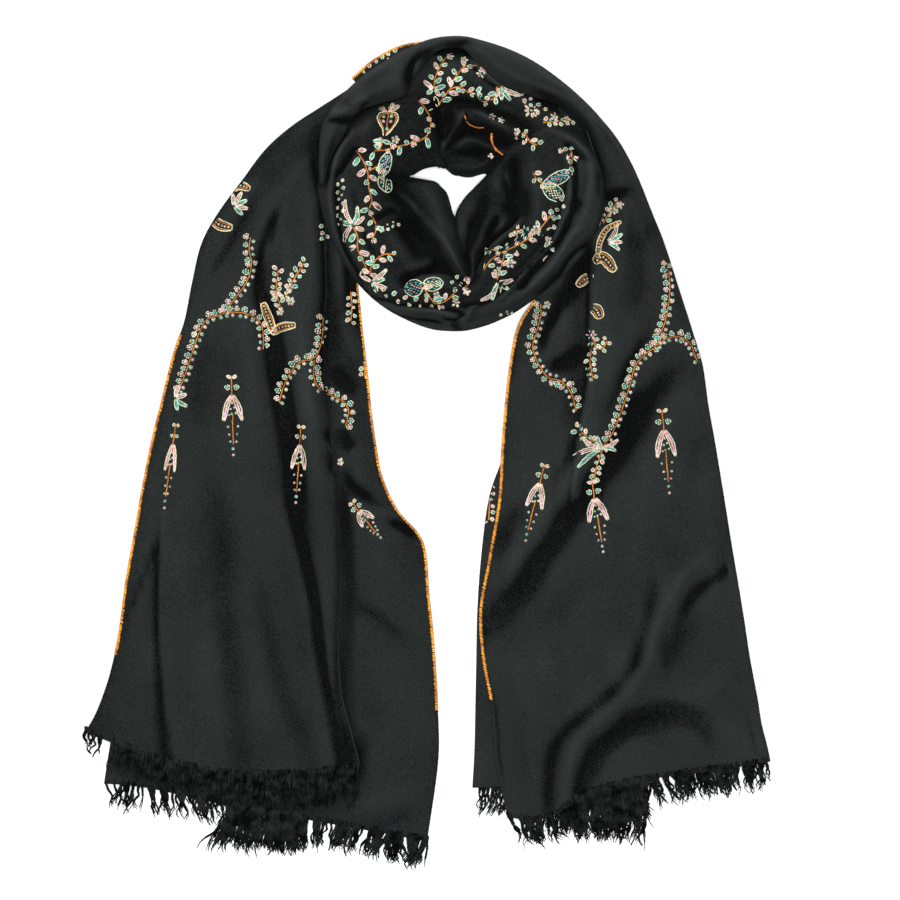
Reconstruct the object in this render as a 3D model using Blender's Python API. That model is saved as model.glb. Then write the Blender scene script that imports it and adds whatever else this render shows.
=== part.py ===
"""A long wool stole, looped once round a neck that is not there and laid flat.

Both tails run down from the loop, each one folded in three along its length, and both
short hems carry a thin fringe.  The lay plan is drawn on a square grid.  One grid step is
GRID metres, x runs right, y runs down, and PLAN_MIDDLE lies over the origin.  Heights are
in millimetres above the floor.
"""

import math
import random

import bmesh
import bpy
import numpy as np
from mathutils import Vector
from mathutils.bvhtree import BVHTree

MM = 0.001
STOLE_LENGTH = 2.03  # cut length between the two short hems, metres
GRID_STEPS_ALONG = 2333  # the same length, measured along the lay plan
GRID = STOLE_LENGTH / GRID_STEPS_ALONG
PLAN_MIDDLE = (427.82, 454.17)
LOOP_MIDDLE = (455.0, 195.0)

CLOTH = 1.2 * MM  # wall of one layer of cloth
LAYER = 2.9 * MM  # from the middle of one folded layer to the next
LOWEST = 0.7 * MM  # middle of the layer that lies on the floor
TURN = 2.0  # grid steps that a fold takes to turn over
TURN_RISE = 2.0  # millimetres that the top layer rises just inside the right tail's edge
FOLD_GAP = 2.6  # least millimetres from one layer's middle to the next at that edge
SEAM = 0.35  # degrees left open between two stretches of the loop
CLEAR = 0.4 * MM  # kept between a stretch and what it lies on
THIN = 1.6 * MM  # least thickness of a heaped stretch
TAIL_SECTIONS = 25
FEELERS = 13  # places felt each way round a point for what lies below it
STRIP = 1.6 * MM  # width of the strip that a fringe's strands grow from
STRAND = 0.7 * MM  # thickness of a strand at its root
HEM_GAP = 0.5 * MM  # between a hem and its fringe's strip
TIP_HEIGHT = 0.8 * MM
SWAY = 0.12  # how far a strand leans along the hem, for each metre of its length
SWAY_WAVE = 0.31  # the lean comes and goes along the hem: radians from a strand to the next
SWAY_ODDS = 0.03
ELBOW = 0.6 * MM  # how far a strand's middle may stand beside its line
TAPER = 0.8  # a strand's width at its middle, for each metre at its root
FINE = 40  # points that a curve is measured at, for each point wanted on it

CLOTH_COLOUR = (0.018, 0.021, 0.021, 1.0)
FRINGE_COLOUR = (0.014, 0.017, 0.017, 1.0)
SEED = 7

# Left tail, a row for each station from under the loop down to the hem.  The top layer
# runs from left to fold, the middle one from fold back to under, the lowest from under to
# right.
LEFT_PLAN = (
    # y_left left step dip ridge valley mid fold y_fold crest right y_right under y_under
    (88, 347, 348.5, 350, 351, 352, 354, 358, 132, 364, 372, 170, 343, 100),
    (104, 322, 325, 328, 330, 332, 335, 340, 160, 350, 362, 205, 321, 116),
    (124, 291, 296, 303, 310, 316, 322, 329, 198, 343, 357, 240, 294, 136),
    (148, 264, 272, 281, 289, 299, 310, 325, 232, 342, 357, 272, 272, 160),
    (180, 240, 250, 261, 280, 297, 312, 325, 258, 343, 358, 290, 252, 193),
    (213, 216, 228, 243, 262, 284, 309, 326, 288, 344, 360, 308, 230, 224),
    (243, 200, 213, 229, 243, 258, 301, 324, 314, 344, 362, 330, 214, 252),
    (280, 191, 205, 220, 240, 264, 302, 323, 345, 345, 365, 355, 205, 288),
    (320, 183, 197, 213, 240, 272, 304, 323, 375, 347, 368, 382, 197, 328),
    (352, 172, 187, 207, 240, 279, 307, 325, 405, 350, 371, 412, 187, 361),
    (400, 160, 174, 203, 245, 285, 311, 331, 438, 354, 376, 448, 175, 408),
    (440, 150, 165, 203, 250, 290, 315, 334, 470, 358, 382, 478, 166, 448),
    (490, 140, 158, 206, 256, 297, 319, 337, 510, 366, 397, 510, 157, 499),
    (525, 134, 157, 209, 260, 302, 322, 338, 540, 376, 423, 543, 150, 535),
    (580, 124, 155, 212, 264, 309, 326, 338, 590, 382, 429, 596, 138, 590),
    (632, 117, 155, 217, 272, 316, 328, 337, 640, 386, 434, 645, 128, 645),
    (675, 108, 158, 224, 282, 324, 333, 341, 695, 390, 438, 715, 117, 700),
    (712, 95, 161, 230, 294, 333, 343, 351, 735, 392, 438, 765, 108, 748),
    (734, 83, 164, 237, 303, 338, 350, 360, 768, 392, 427, 844, 102, 786),
)
LEFT_RISE = (
    # left step dip ridge valley mid fold crest right
    (7, 8, 8, 8.5, 8, 8.5, 7.5, 3, 1.2),
    (6, 8, 8, 9, 8.5, 9, 7.5, 3.5, 1.5),
    (5, 8, 9, 12, 11, 12, 8, 4, 1.8),
    (5, 9, 12, 15, 13, 14, 8, 5, 2),
    (5, 9, 10, 15, 14, 15, 8, 6, 2),
    (5, 9, 9.5, 15, 14, 16, 8, 7, 2),
    (5, 9, 10, 13, 8.5, 16, 8, 7, 2),
    (5, 8, 10, 13, 7.2, 16, 8, 7, 2),
    (5, 8, 9, 12, 7, 15, 8, 7, 2),
    (5, 7.4, 9, 12, 7, 15, 8, 7, 2),
    (5, 7.4, 8.5, 11, 7, 14, 8, 7, 2),
    (5, 7.6, 8.5, 11, 7, 13, 8, 8, 3),
    (5, 8, 8, 11, 7, 12, 8, 9, 4),
    (5, 8, 8, 10, 7, 12, 8, 6, 2),
    (5, 8, 7.6, 10, 7, 11, 8, 4, 1.5),
    (5, 8, 7.6, 9.5, 7, 10, 7.6, 4, 1.5),
    (5, 7.8, 7.6, 9, 7, 9, 7.6, 4, 1.2),
    (5, 7.6, 7.4, 8.5, 7, 8.5, 7.6, 3, 1.2),
    (5, 7.6, 7.2, 8, 7, 8, 7.6, 2, 1.2),
)
LEFT_SAG = {16: 4, 17: 12, 18: 24}  # grid steps that the hem's middle hangs lower, by row
LEFT_STEPS = (2, 2, 2, 2, 2, 2, 1, 1, 2, 1, 1, 1, 2, 2, 1, 2, 2)  # wall pieces in each run

# Right tail, from the loop's right shoulder down to the hem.  The top layer runs from left
# to right, the middle one from right back to under, the lowest from under to end.
RIGHT_PLAN = (
    # y_left left knee low high ridge dip crest pit brow pan right y_right under y_under end y_end
    (145, 591, 593.5, 596, 599, 602, 605, 608, 610, 612.5, 615, 617, 136, 596, 143, 612, 138),
    (175, 602, 605, 608.5, 612, 617, 621, 625, 627, 630, 633, 635.5, 169, 608, 174, 630, 170),
    (206, 604, 608, 612, 617, 626, 632, 638, 641, 645, 649, 652, 209, 612, 206, 645, 208),
    (229, 598, 602, 606, 611, 622, 634, 643, 649, 655, 660, 664.5, 240, 608, 230, 655, 237),
    (252, 584, 588, 592, 596, 620, 642, 654, 660, 666, 670, 674.5, 270, 596, 255, 655, 264),
    (272, 570, 580, 590, 594, 616, 640, 658, 666, 674, 680, 685.5, 305, 585, 275, 655, 295),
    (286, 550, 570, 589, 593, 612, 640, 660, 671, 681, 689, 694.5, 333, 565, 290, 650, 320),
    (300, 534, 562, 588, 593, 609, 630, 658, 674, 686, 697, 704, 365, 548, 303, 640, 348),
    (322, 520, 556, 588, 593, 607, 625, 655, 675, 690, 702, 710, 405, 532, 325, 640, 380),
    (352, 512, 550, 586, 591, 612, 637, 664, 684, 699, 710, 717, 445, 522, 356, 640, 415),
    (400, 506, 545, 577, 583, 598, 615, 655, 684, 704, 718, 725.5, 497, 514, 404, 640, 462),
    (450, 502, 532, 556, 562, 573, 586, 638, 680, 710, 724, 732, 538, 506, 450, 640, 510),
    (500, 499, 518, 534, 540, 549, 559, 612, 660, 711, 726, 739, 580, 490, 497, 640, 550),
    (559, 489, 500, 508, 513, 521, 530, 590, 643, 676, 698, 745.5, 620, 482, 556, 642, 595),
    (612, 480, 485, 490, 494, 499, 505, 575, 632, 650, 668, 751.5, 660, 478, 612, 644, 640),
    (660, 483, 487, 491, 495, 499, 505, 555, 602, 625, 648, 759, 700, 477, 660, 646, 690),
    (705, 491, 495, 499, 503, 508, 514, 535, 562, 600, 628, 763, 725, 476, 712, 648, 735),
    (765, 496, 501, 506, 511, 517, 524, 535, 552, 575, 597, 768, 745, 475, 755, 649, 780),
    (819, 508, 513, 518, 523, 529, 535, 545, 556, 567, 585, 772, 763, 473, 790, 650, 830),
)
RIGHT_RISE = (
    # left knee low high ridge dip crest pit brow pan right
    (22, 27, 30, 32, 33, 32, 30, 26, 20, 12, 5),
    (12, 18, 22, 25, 28, 28, 26, 22, 17, 10, 5),
    (9, 12, 15, 18, 24, 23, 21, 18, 14, 9, 5),
    (8, 9, 10, 14, 22, 18, 18, 16, 13, 9, 5),
    (8, 8, 8, 13, 20, 13, 16, 15, 13, 9, 5),
    (8, 8, 8, 13, 19, 11, 15, 15, 13, 9, 5),
    (7.4, 8, 7.6, 13, 18, 10, 14, 14, 12, 9, 5),
    (6, 9, 7.6, 13, 17, 10, 13, 13.5, 12, 9, 5),
    (5.6, 9, 7.6, 12, 15, 11, 13, 13, 12, 9, 5),
    (5.6, 10, 7.6, 12, 13, 9, 13, 13, 12, 9, 5),
    (5.6, 10, 8, 11, 11.5, 8, 13, 13, 12, 9, 5),
    (5.8, 9.5, 9, 10.5, 10, 7.4, 12.5, 11, 12.5, 9, 5),
    (6.6, 8.5, 9.5, 10.5, 10, 7.4, 12, 9, 13, 9, 5),
    (6.6, 7.4, 8.5, 9.5, 9, 7.4, 11, 7.6, 12, 8, 5),
    (6.6, 7.2, 7.6, 7.6, 7.2, 7.2, 10, 7.6, 11.5, 7.6, 5),
    (6.6, 7, 7, 7, 7, 7, 9.5, 7.4, 11, 7.4, 5),
    (6.6, 7, 7, 7, 7, 7, 8.5, 7.2, 10.5, 7.2, 5),
    (6.6, 7, 7, 7, 7, 7, 8, 7.2, 10, 7.2, 5),
    (6.6, 7, 7, 7, 7, 7, 8, 7.2, 9.5, 7.2, 5),
)
RIGHT_SAG = {17: 5, 18: 11}
RIGHT_STEPS = (1, 1, 1, 2, 2, 2, 2, 2, 2, 1, 1, 1, 2, 1, 1, 1, 2, 2)

# The loop's front, a row for each direction from the loop's middle, in degrees from +x
# towards +y.  Each column is a fold line: distance from the middle in grid steps, height.
FRONT_FOLDS = (
    # turn  foot       shoulder   groove     crest        crease     brow       lip
    (112, (124, 10), (118, 14), (112, 18), (104, 24), (98, 25), (85, 24), (60, 20)),
    (125, (128, 10), (122, 14), (116, 18), (108, 28), (100, 30), (85, 30), (62, 25)),
    (140, (138, 10), (131, 14), (125, 20), (116, 30), (104, 32), (85, 31), (65, 27)),
    (152, (138, 10), (131, 16), (126, 24), (119, 34), (110, 31), (90, 31), (70, 28)),
    (158, (138, 9), (132, 15), (127, 23), (120, 34), (112, 30), (94, 32), (74, 27)),
    (164, (138, 8), (132, 14), (128, 22), (121, 34), (114, 30), (97, 33), (78, 29)),
    (172, (138, 7), (133, 16), (128, 24), (122, 34), (116, 30), (100, 33), (80, 29)),
    (180, (137, 6), (134, 18), (129, 27), (123, 34), (117, 29), (100, 33), (80, 29)),
    (195, (132, 6), (129, 18), (126, 26), (123, 31), (120, 27), (102, 31), (78, 28)),
    (210, (130, 4), (128, 14), (127, 20), (126, 26), (123, 24), (104, 29), (78, 27)),
    (225, (131, 3), (129, 12), (127, 18), (125, 24), (122, 22), (105, 28), (80, 27)),
    (238, (132, 3), (129, 14), (126, 20), (123.5, 24), (121, 22), (108, 27), (86, 27)),
    (250, (133, 3), (130, 14), (126, 20), (122, 24), (117, 21), (108, 27), (90, 30)),
    (260, (135, 3), (132, 14), (126, 20), (119, 26), (114, 22), (106, 28), (92, 31)),
    (268, (135, 3), (131, 15), (125, 21), (120, 25), (113, 22), (106, 27), (96, 30)),
    (274, (135, 3), (130, 16), (125, 22), (120, 24), (112, 22), (106, 27), (98, 30)),
    (279, (134, 3), (129, 17), (124, 23), (119, 25), (112, 22), (106, 28), (98, 30)),
    (284, (133, 3), (128, 18), (123, 25), (118, 26), (112, 23), (105, 28), (96, 31)),
    (289, (132, 3), (127, 19), (121, 26), (115, 27), (110, 24), (102, 29), (88, 31)),
    (297, (131, 3), (126, 20), (119, 28), (113, 28), (107, 25), (99, 30), (80, 30)),
    (307, (130, 4), (126, 20), (120, 28), (112, 23), (100, 25), (94, 29), (80, 30)),
    (320, (133, 8), (128, 20), (121, 32), (111, 24), (98, 25), (92, 30), (81, 31)),
    (335, (141, 8), (134, 26), (122, 34), (111, 26), (100, 27), (94, 32), (84, 32)),
    (350, (148, 8), (141, 30), (130, 36), (118, 28), (105, 29), (98, 33), (84, 33)),
    (365, (150, 6), (144, 32), (136, 38), (126, 30), (111, 30), (104, 33), (85, 33)),
    (376, (148, 6), (144, 30), (137, 38), (128, 32), (114, 30), (106, 32), (85, 31)),
    (386, (145, 6), (140, 25), (133, 32), (125, 30), (112, 28), (106, 29), (86, 27)),
    (392, (141, 6), (136, 21), (129, 27), (122, 26), (111, 26), (105, 27), (86, 24)),
    (398, (136, 4), (130, 18), (125, 22), (118, 22), (110, 22), (104, 22), (86, 20)),
)

# The same directions, further in: the hollow behind the lip, then the cloth that falls into
# the loop.  Where the cloth falls freely, its crest and edge are plan points with heights.
FALL_FOLDS = (
    # turn  hollow    fall                drop
    (112, (46, 17), (38, 15), (30, 12)),
    (125, (50, 21), (431, 160, 18), (435, 165.5, 12)),
    (140, (56, 24), (417, 163, 20), (423, 168, 12)),
    (152, (60, 24), (408, 170, 18), (414.5, 173, 12)),
    (158, (62, 20), (404, 174.5, 14), (409, 176, 10)),
    (164, (63, 14), (414, 181.5, 14), (434, 180.5, 7)),
    (172, (61, 14), (424, 185, 21), (441, 186, 7)),
    (180, (55, 14), (428, 193, 25), (446.5, 192, 7)),
    (195, (49, 14), (434, 205, 27), (450, 203, 7)),
    (210, (48, 14), (438, 217, 28), (452.5, 213, 7)),
    (225, (52, 14), (441, 229, 28), (454.5, 222, 8)),
    (238, (59, 14), (446, 240, 27), (456, 232, 9)),
    (250, (63, 14), (450, 249, 26), (458, 242, 9)),
    (260, (71, 13), (454.5, 259, 24), (460, 253, 9)),
    (268, (80, 14), (459, 267.5, 21), (463, 263, 10)),
    (274, (87, 15), (464.5, 276.5, 17), (467, 273, 11)),
    (279, (90, 16), (469.5, 281.5, 15), (470, 278, 12)),
    (284, (82, 15), (473, 272.5, 18), (470.5, 270, 11)),
    (289, (75, 14), (473, 262, 22), (465.4, 260, 10)),
    (297, (64, 14), (474, 250, 25), (461.4, 247, 9)),
    (307, (65, 14), (478, 240, 27), (458.7, 236, 9)),
    (320, (67, 14), (482, 230, 28), (457, 226, 8)),
    (335, (70, 14), (487, 218, 28), (456, 216, 7)),
    (350, (67, 13), (490, 205, 28), (458.5, 207, 7)),
    (365, (61, 12), (493, 193, 26), (465, 196.5, 7)),
    (376, (60, 11), (497, 183, 22), (474, 187, 7)),
    (386, (63, 10), (499, 173.5, 16), (486, 175, 6)),
    (392, (66, 12), (501, 166, 12), (488.5, 171.5, 6)),
    (398, (68, 14), (57, 10), (44, 5)),
)
FRONT_STEPS = (1, 1, 1, 1, 1, 2, 2, 2, 2)  # wall pieces between each fold line and the next
FRONT_STRETCHES = (
    # node, first turn, last turn, sections
    ("loop_left", 112, 218, 26),
    ("loop_front", 218, 305, 28),
    ("loop_right", 305, 398, 22),
)

# The cloth behind the nape, seen through the loop: an embroidered fall above two folds.
NAPE_FOLDS = (
    # turn  tuck       fall       hem        crease    ledge     hollow    sill      lip       drop
    (112, (138, 12), (120, 22), (100, 22), (90, 17), (80, 17), (66, 12), (50, 15), (40, 11), (33, 5)),
    (95, (154, 12), (125, 28), (105, 27), (92, 20), (84, 18), (62, 8), (48, 18), (28, 12), (22.5, 4)),
    (80, (150, 12), (120, 29), (100, 28), (92, 20), (84, 24), (64, 8), (56, 20), (28, 14), (21.5, 4)),
    (65, (140, 12), (115, 29), (100, 29), (92, 22), (84, 27), (68, 10), (58, 20), (28, 14), (22, 4)),
    (50, (140, 12), (118, 29), (104, 29), (94, 24), (86, 27), (74, 10), (60, 18), (33, 14), (26, 4)),
    (38, (140, 10), (126, 25), (112, 26), (100, 23), (90, 23), (80, 13), (64, 16), (46, 12), (38, 4)),
)
# Wall pieces between each fold line and the next, first and last turn, sections.
NAPE_REACH = ((2, 2, 2, 2, 2, 2, 2, 1), 38 + SEAM, 112 - SEAM, 16)

# The outer arc over the nape, from its turned-down left end to the right shoulder.
ARC_FOLDS = (
    # turn  foot      shoulder   crest      roll       lip        drop
    (176, (136, 12), (135, 24), (134, 32), (133, 33), (132, 32), (131, 26)),
    (165, (141, 8), (138, 28), (135, 38), (133, 38), (131, 36), (129.5, 28)),
    (152, (151, 4), (147, 26), (142, 36), (136, 42), (131, 38), (126, 30)),
    (140, (152, 4), (147, 26), (142, 38), (136, 42), (131, 39), (127, 32)),
    (128, (152, 4), (146, 28), (138, 42), (128, 46), (121, 41), (116, 31)),
    (117, (153, 4), (147, 28), (138, 44), (125, 48), (116, 42), (111, 31)),
    (108, (156, 4), (150, 28), (144, 40), (138, 44), (132, 41), (126, 30)),
    (98, (160, 3), (156, 26), (152, 40), (149, 46), (146, 42), (143, 31)),
    (88, (161, 3), (157, 26), (154, 38), (151, 46), (149, 44), (146, 32)),
    (80, (159, 3), (154, 26), (149, 40), (143, 48), (138, 44), (132, 33)),
    (70, (157.5, 3), (150, 28), (142, 42), (131, 50), (125, 44), (120, 33)),
    (60, (157, 3), (150, 28), (141, 42), (130, 50), (124, 44), (119, 33)),
    (50, (157.5, 3), (150, 28), (143, 42), (134, 48), (130, 42), (126, 33)),
    (40, (160, 3), (155, 26), (150, 38), (145, 46), (141, 42), (138, 31)),
    (30, (165, 3), (160, 22), (156, 32), (151, 42), (147, 38), (143, 28)),
    (21, (172, 3), (167, 16), (161, 26), (155, 34), (150, 32), (146, 24)),
)
ARC_REACH = ((2, 2, 2, 2, 1), 21, 176, 34)
CRESCENT_FOLDS = (
    # turn  foot       rise      inner
    (131, (158, 2.5), (152, 5), (142, 5)),
    (120, (160.5, 2.5), (153, 6), (142, 5)),
    (108, (161, 2.5), (153, 6), (142, 5)),
    (95, (157, 2.5), (151, 5), (144, 5)),
)
CRESCENT_REACH = ((2, 1), 95, 131, 10)

# Fringes: each hangs from a stretch of a tail's hem, counted in points of its section.
FRINGES = (
    # node, tail, first and last point, drop to the tips (share), strands, least and most length
    ("fringe_left_front", "tail_left", 0.05, 5.9, 0.76, 48, 32, 44),
    ("fringe_left_middle", "tail_left", 9, 9.95, 0.82, 16, 22, 32),
    ("fringe_left_back", "tail_left", 13, 16.95, 1.0, 30, 30, 40),
    ("fringe_right_front", "tail_right", 0.1, 9.95, 0.8, 50, 32, 42),
    ("fringe_right_back", "tail_right", 16.05, 17.95, 1.0, 36, 26, 36),
)


def plan_point(x, y, height_mm):
    """World position of a lay plan point at a height in millimetres."""
    return ((x - PLAN_MIDDLE[0]) * GRID, (PLAN_MIDDLE[1] - y) * GRID, height_mm * MM)


def turned_point(turn, distance, height_mm):
    """World position of a point given by its direction and distance from the loop's middle."""
    angle = math.radians(turn)
    x = LOOP_MIDDLE[0] + distance * math.cos(angle)
    y = LOOP_MIDDLE[1] - distance * math.sin(angle)
    return plan_point(x, y, height_mm)


def smooth_at(points, spots):
    """Points of a Catmull-Rom curve through points; spot k is the point numbered k."""
    points = np.asarray(points, float)
    padded = np.concatenate([2 * points[:1] - points[1:2], points, 2 * points[-1:] - points[-2:-1]])
    whole = np.minimum(spots.astype(int), len(points) - 2)
    part = (spots - whole).reshape((-1,) + (1,) * (points.ndim - 1))
    p0, p1, p2, p3 = (padded[whole + step] for step in range(4))
    bend = 2 * p1 + (p2 - p0) * part + (2 * p0 - 5 * p1 + 4 * p2 - p3) * part**2
    return 0.5 * (bend + (3 * p1 - p0 - 3 * p2 + p3) * part**3)


def bend_through(points, steps):
    """A curve through unevenly spaced points with no overshoot, steps pieces to each run."""
    points = np.asarray(points, float)
    knots = np.concatenate([[0], np.cumsum(np.linalg.norm(np.diff(points, axis=0), axis=1))])
    runs = np.diff(knots)[:, None]
    slopes = np.diff(points, axis=0) / runs
    before, after = slopes[:-1], slopes[1:]
    heavy, light = 2 * runs[1:] + runs[:-1], runs[1:] + 2 * runs[:-1]
    same_way = before * after > 0
    weighed = heavy / np.where(same_way, before, 1) + light / np.where(same_way, after, 1)
    parts = np.where(same_way, weighed, 1)
    inner = np.where(same_way, (heavy + light) / parts, 0)
    tangents = np.concatenate([slopes[:1], inner, slopes[-1:]])
    made = [points[:1]]
    for i, count in enumerate(steps):
        t = np.linspace(0, 1, count + 1)[1:, None]
        start = (2 * t**3 - 3 * t**2 + 1) * points[i] + (t**3 - 2 * t**2 + t) * runs[i] * tangents[i]
        end = (3 * t**2 - 2 * t**3) * points[i + 1] + (t**3 - t**2) * runs[i] * tangents[i + 1]
        made.append(start + end)
    return np.concatenate(made)


def even_run(points, steps, first, last, count):
    """Count evenly spaced points along a section's wall, from its first to its last point given."""
    curve = bend_through(points, steps)
    marks = np.concatenate([[0], np.cumsum(steps)])
    ends = np.interp([first, last], range(len(points)), marks)
    fine = np.linspace(*ends, FINE * count)
    run = np.stack([np.interp(fine, range(len(curve)), curve[:, k]) for k in range(3)], axis=1)
    knots = np.concatenate([[0], np.cumsum(np.linalg.norm(np.diff(run, axis=0), axis=1))])
    spots = np.linspace(0, knots[-1], count)
    return np.stack([np.interp(spots, knots, run[:, k]) for k in range(3)], axis=1)


def normals_of(grid):
    """Unit normals of a grid of points, pointing up where its columns run left to right."""
    across = np.gradient(grid, axis=1)
    along = np.gradient(grid, axis=0)
    normal = np.cross(across, -along)
    return normal / np.maximum(np.linalg.norm(normal, axis=2, keepdims=True), 1e-12)


def shell_faces(rows, columns):
    """Faces of a closed shell between a top grid and a bottom grid of the same size."""
    size = rows * columns
    faces = []
    for i in range(rows - 1):
        for j in range(columns - 1):
            a = i * columns + j
            faces.append((a, a + columns, a + columns + 1, a + 1))
            faces.append((size + a, size + a + 1, size + a + columns + 1, size + a + columns))
    rim = [j for j in range(columns)]
    rim += [i * columns + columns - 1 for i in range(1, rows)]
    rim += [(rows - 1) * columns + j for j in range(columns - 2, -1, -1)]
    rim += [i * columns for i in range(rows - 2, 0, -1)]
    for here, there in zip(rim, rim[1:] + rim[:1]):
        faces.append((here, there, size + there, size + here))
    return faces


def add_object(name, points, faces, material):
    """Make a named mesh object, with its faces turned outwards."""
    mesh = bpy.data.meshes.new(name)
    mesh.from_pydata([tuple(point) for point in points], [], faces)
    shaped = bmesh.new()
    shaped.from_mesh(mesh)
    bmesh.ops.triangulate(shaped, faces=shaped.faces[:])
    bmesh.ops.recalc_face_normals(shaped, faces=shaped.faces[:])
    if shaped.calc_volume(signed=True) < 0:
        bmesh.ops.reverse_faces(shaped, faces=shaped.faces[:])
    shaped.to_mesh(mesh)
    shaped.free()
    mesh.materials.append(material)
    mesh.shade_smooth()
    made = bpy.data.objects.new(name, mesh)
    bpy.context.scene.collection.objects.link(made)
    return made


def add_shell(name, top, bottom, material):
    """Close the space between two grids into one object."""
    rows, columns = top.shape[:2]
    points = np.concatenate([top.reshape(-1, 3), bottom.reshape(-1, 3)])
    return add_object(name, points, shell_faces(rows, columns), material)


def add_wall(name, middle, material):
    """Give a grid of points the thickness of the cloth."""
    lift = normals_of(middle) * CLOTH / 2
    return add_shell(name, middle + lift, middle - lift, material)


def tree_of(made):
    """Search tree of an object's triangles."""
    points = [vertex.co for vertex in made.data.vertices]
    return BVHTree.FromPolygons(points, [tuple(face.vertices) for face in made.data.polygons])


def height_below(trees, x, y, reach):
    """Highest surface of the trees within reach of a place, or zero."""
    highest = 0.0
    for dx in np.linspace(-reach, reach, FEELERS):
        for dy in np.linspace(-reach, reach, FEELERS):
            for tree in trees:
                hit = tree.ray_cast(Vector((x + dx, y + dy, 1.0)), Vector((0, 0, -1)))[0]
                if hit is not None:
                    highest = max(highest, hit.z)
    return highest


def reaches_of(grid):
    """How far each point of a grid lies from the farthest of its four neighbours."""
    flat = grid[..., :2]
    far = np.zeros(grid.shape[:2])
    for axis in (0, 1):
        gaps = np.linalg.norm(np.diff(flat, axis=axis), axis=2)
        ends = [(0, 0), (0, 0)]
        for side in ((1, 0), (0, 1)):
            ends[axis] = side
            far = np.maximum(far, np.pad(gaps, ends))
    return far


def add_heap(name, top, lower, material):
    """Fill the space under a grid down to the floor, or to the pieces that it lies on."""
    trees = [tree_of(piece) for piece in lower]
    far = reaches_of(top)
    bottom = top.copy()
    for spot in np.ndindex(top.shape[:2]):
        x, y, _ = top[spot]
        under = height_below(trees, x, y, far[spot])
        bottom[spot][2] = under + CLEAR if under else 0.0
    top[..., 2] = np.maximum(top[..., 2], bottom[..., 2] + THIN)
    return add_shell(name, top, bottom, material)


def left_section(plan, rise, sag):
    """Middle line of the left tail's folded cloth at one station."""
    y_left, left, step, dip, ridge, valley, mid, fold, y_fold, crest, right, y_right, under, y_under = plan
    spread = fold - left

    def top_point(x, height):
        share = (x - left) / spread
        return plan_point(x, y_left + (y_fold - y_left) * share + sag * math.sin(math.pi * share), height)

    middle = (LOWEST + LAYER) / MM
    lowest = LOWEST / MM
    points = [top_point(x, z) for x, z in zip((left, step, dip, ridge, valley, mid), rise)]
    points.append(top_point(fold - TURN, rise[6]))
    points.append(plan_point(fold, y_fold, (rise[6] + middle) / 2))
    points.append(plan_point(fold - TURN, y_fold, middle))
    points.append(plan_point((fold + under) / 2, (y_fold + y_under) / 2 + sag, middle))
    points.append(plan_point(under + TURN, y_under, middle))
    points.append(plan_point(under, y_under, (middle + lowest) / 2))
    points.append(plan_point(under + TURN, y_under, lowest))

    def low_point(x, height):
        share = (x - under) / (right - under)
        return plan_point(x, y_under + (y_right - y_under) * share, height)

    points.append(low_point((under + fold) / 2, lowest))
    points.append(low_point(fold - TURN, lowest))
    points.append(low_point((fold + crest) / 2, (lowest + rise[7]) / 2))
    points.append(low_point(crest, rise[7]))
    points.append(low_point(right, rise[8]))
    return points


def right_section(plan, rise, sag):
    """Middle line of the right tail's folded cloth at one station."""
    y_left, left = plan[:2]
    right, y_right, under, y_under, end, y_end = plan[11:]
    middle = (LOWEST + LAYER) / MM
    lowest = LOWEST / MM

    def top_point(x, height):
        share = (x - left) / (right - left)
        droop = sag * math.sin(2 * math.pi * share) if share < 0.5 else 0
        return plan_point(x, y_left + (y_right - y_left) * share + droop, height)

    points = [top_point(x, z) for x, z in zip(plan[1:11], rise)]
    points.append(top_point(right - TURN, max(rise[10] + TURN_RISE, middle + FOLD_GAP)))
    points.append(plan_point(right, y_right, rise[10]))
    points.append(plan_point(right - TURN, y_right, middle))
    points.append(plan_point((right + under) / 2, (y_right + y_under) / 2, middle))
    points.append(plan_point(under + TURN, y_under, middle))
    points.append(plan_point(under, y_under, (middle + lowest) / 2))
    points.append(plan_point(under + TURN, y_under, lowest))
    points.append(plan_point((under + end) / 2, (y_under + y_end) / 2, lowest))
    points.append(plan_point(end, y_end, lowest))
    return points


def add_tail(name, section, steps, plans, rises, sags, material):
    """One tail: its folded sections joined into one wall of cloth, and its hem's section."""
    rows = [section(plan, rise, sags.get(i, 0)) for i, (plan, rise) in enumerate(zip(plans, rises))]
    wide = np.stack([bend_through(row, steps) for row in rows])
    middle = smooth_at(wide, np.linspace(0, len(rows) - 1, TAIL_SECTIONS))
    return add_wall(name, middle, material), rows[-1]


def turned_grid(table, steps, first, last, along):
    """Grid of a table of fold lines round the loop's middle, from one turn to another."""
    table = sorted(table)
    turns = [row[0] for row in table]
    rows = []
    for turn, *folds in table:
        points = [turned_point(turn, *fold) if len(fold) == 2 else plan_point(*fold) for fold in folds]
        rows.append(bend_through(points, steps))
    return smooth_at(rows, np.interp(np.linspace(first, last, along), turns, range(len(turns))))


def add_front(lower, material):
    """The loop's front in three stretches, a narrow seam between each and the next."""
    table = [folds + falls[1:] for folds, falls in zip(FRONT_FOLDS, FALL_FOLDS)]
    made = []
    for name, first, last, sections in FRONT_STRETCHES:
        top = turned_grid(table, FRONT_STEPS, first + SEAM, last - SEAM, sections)
        made.append(add_heap(name, top, lower, material))
    return made


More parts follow.
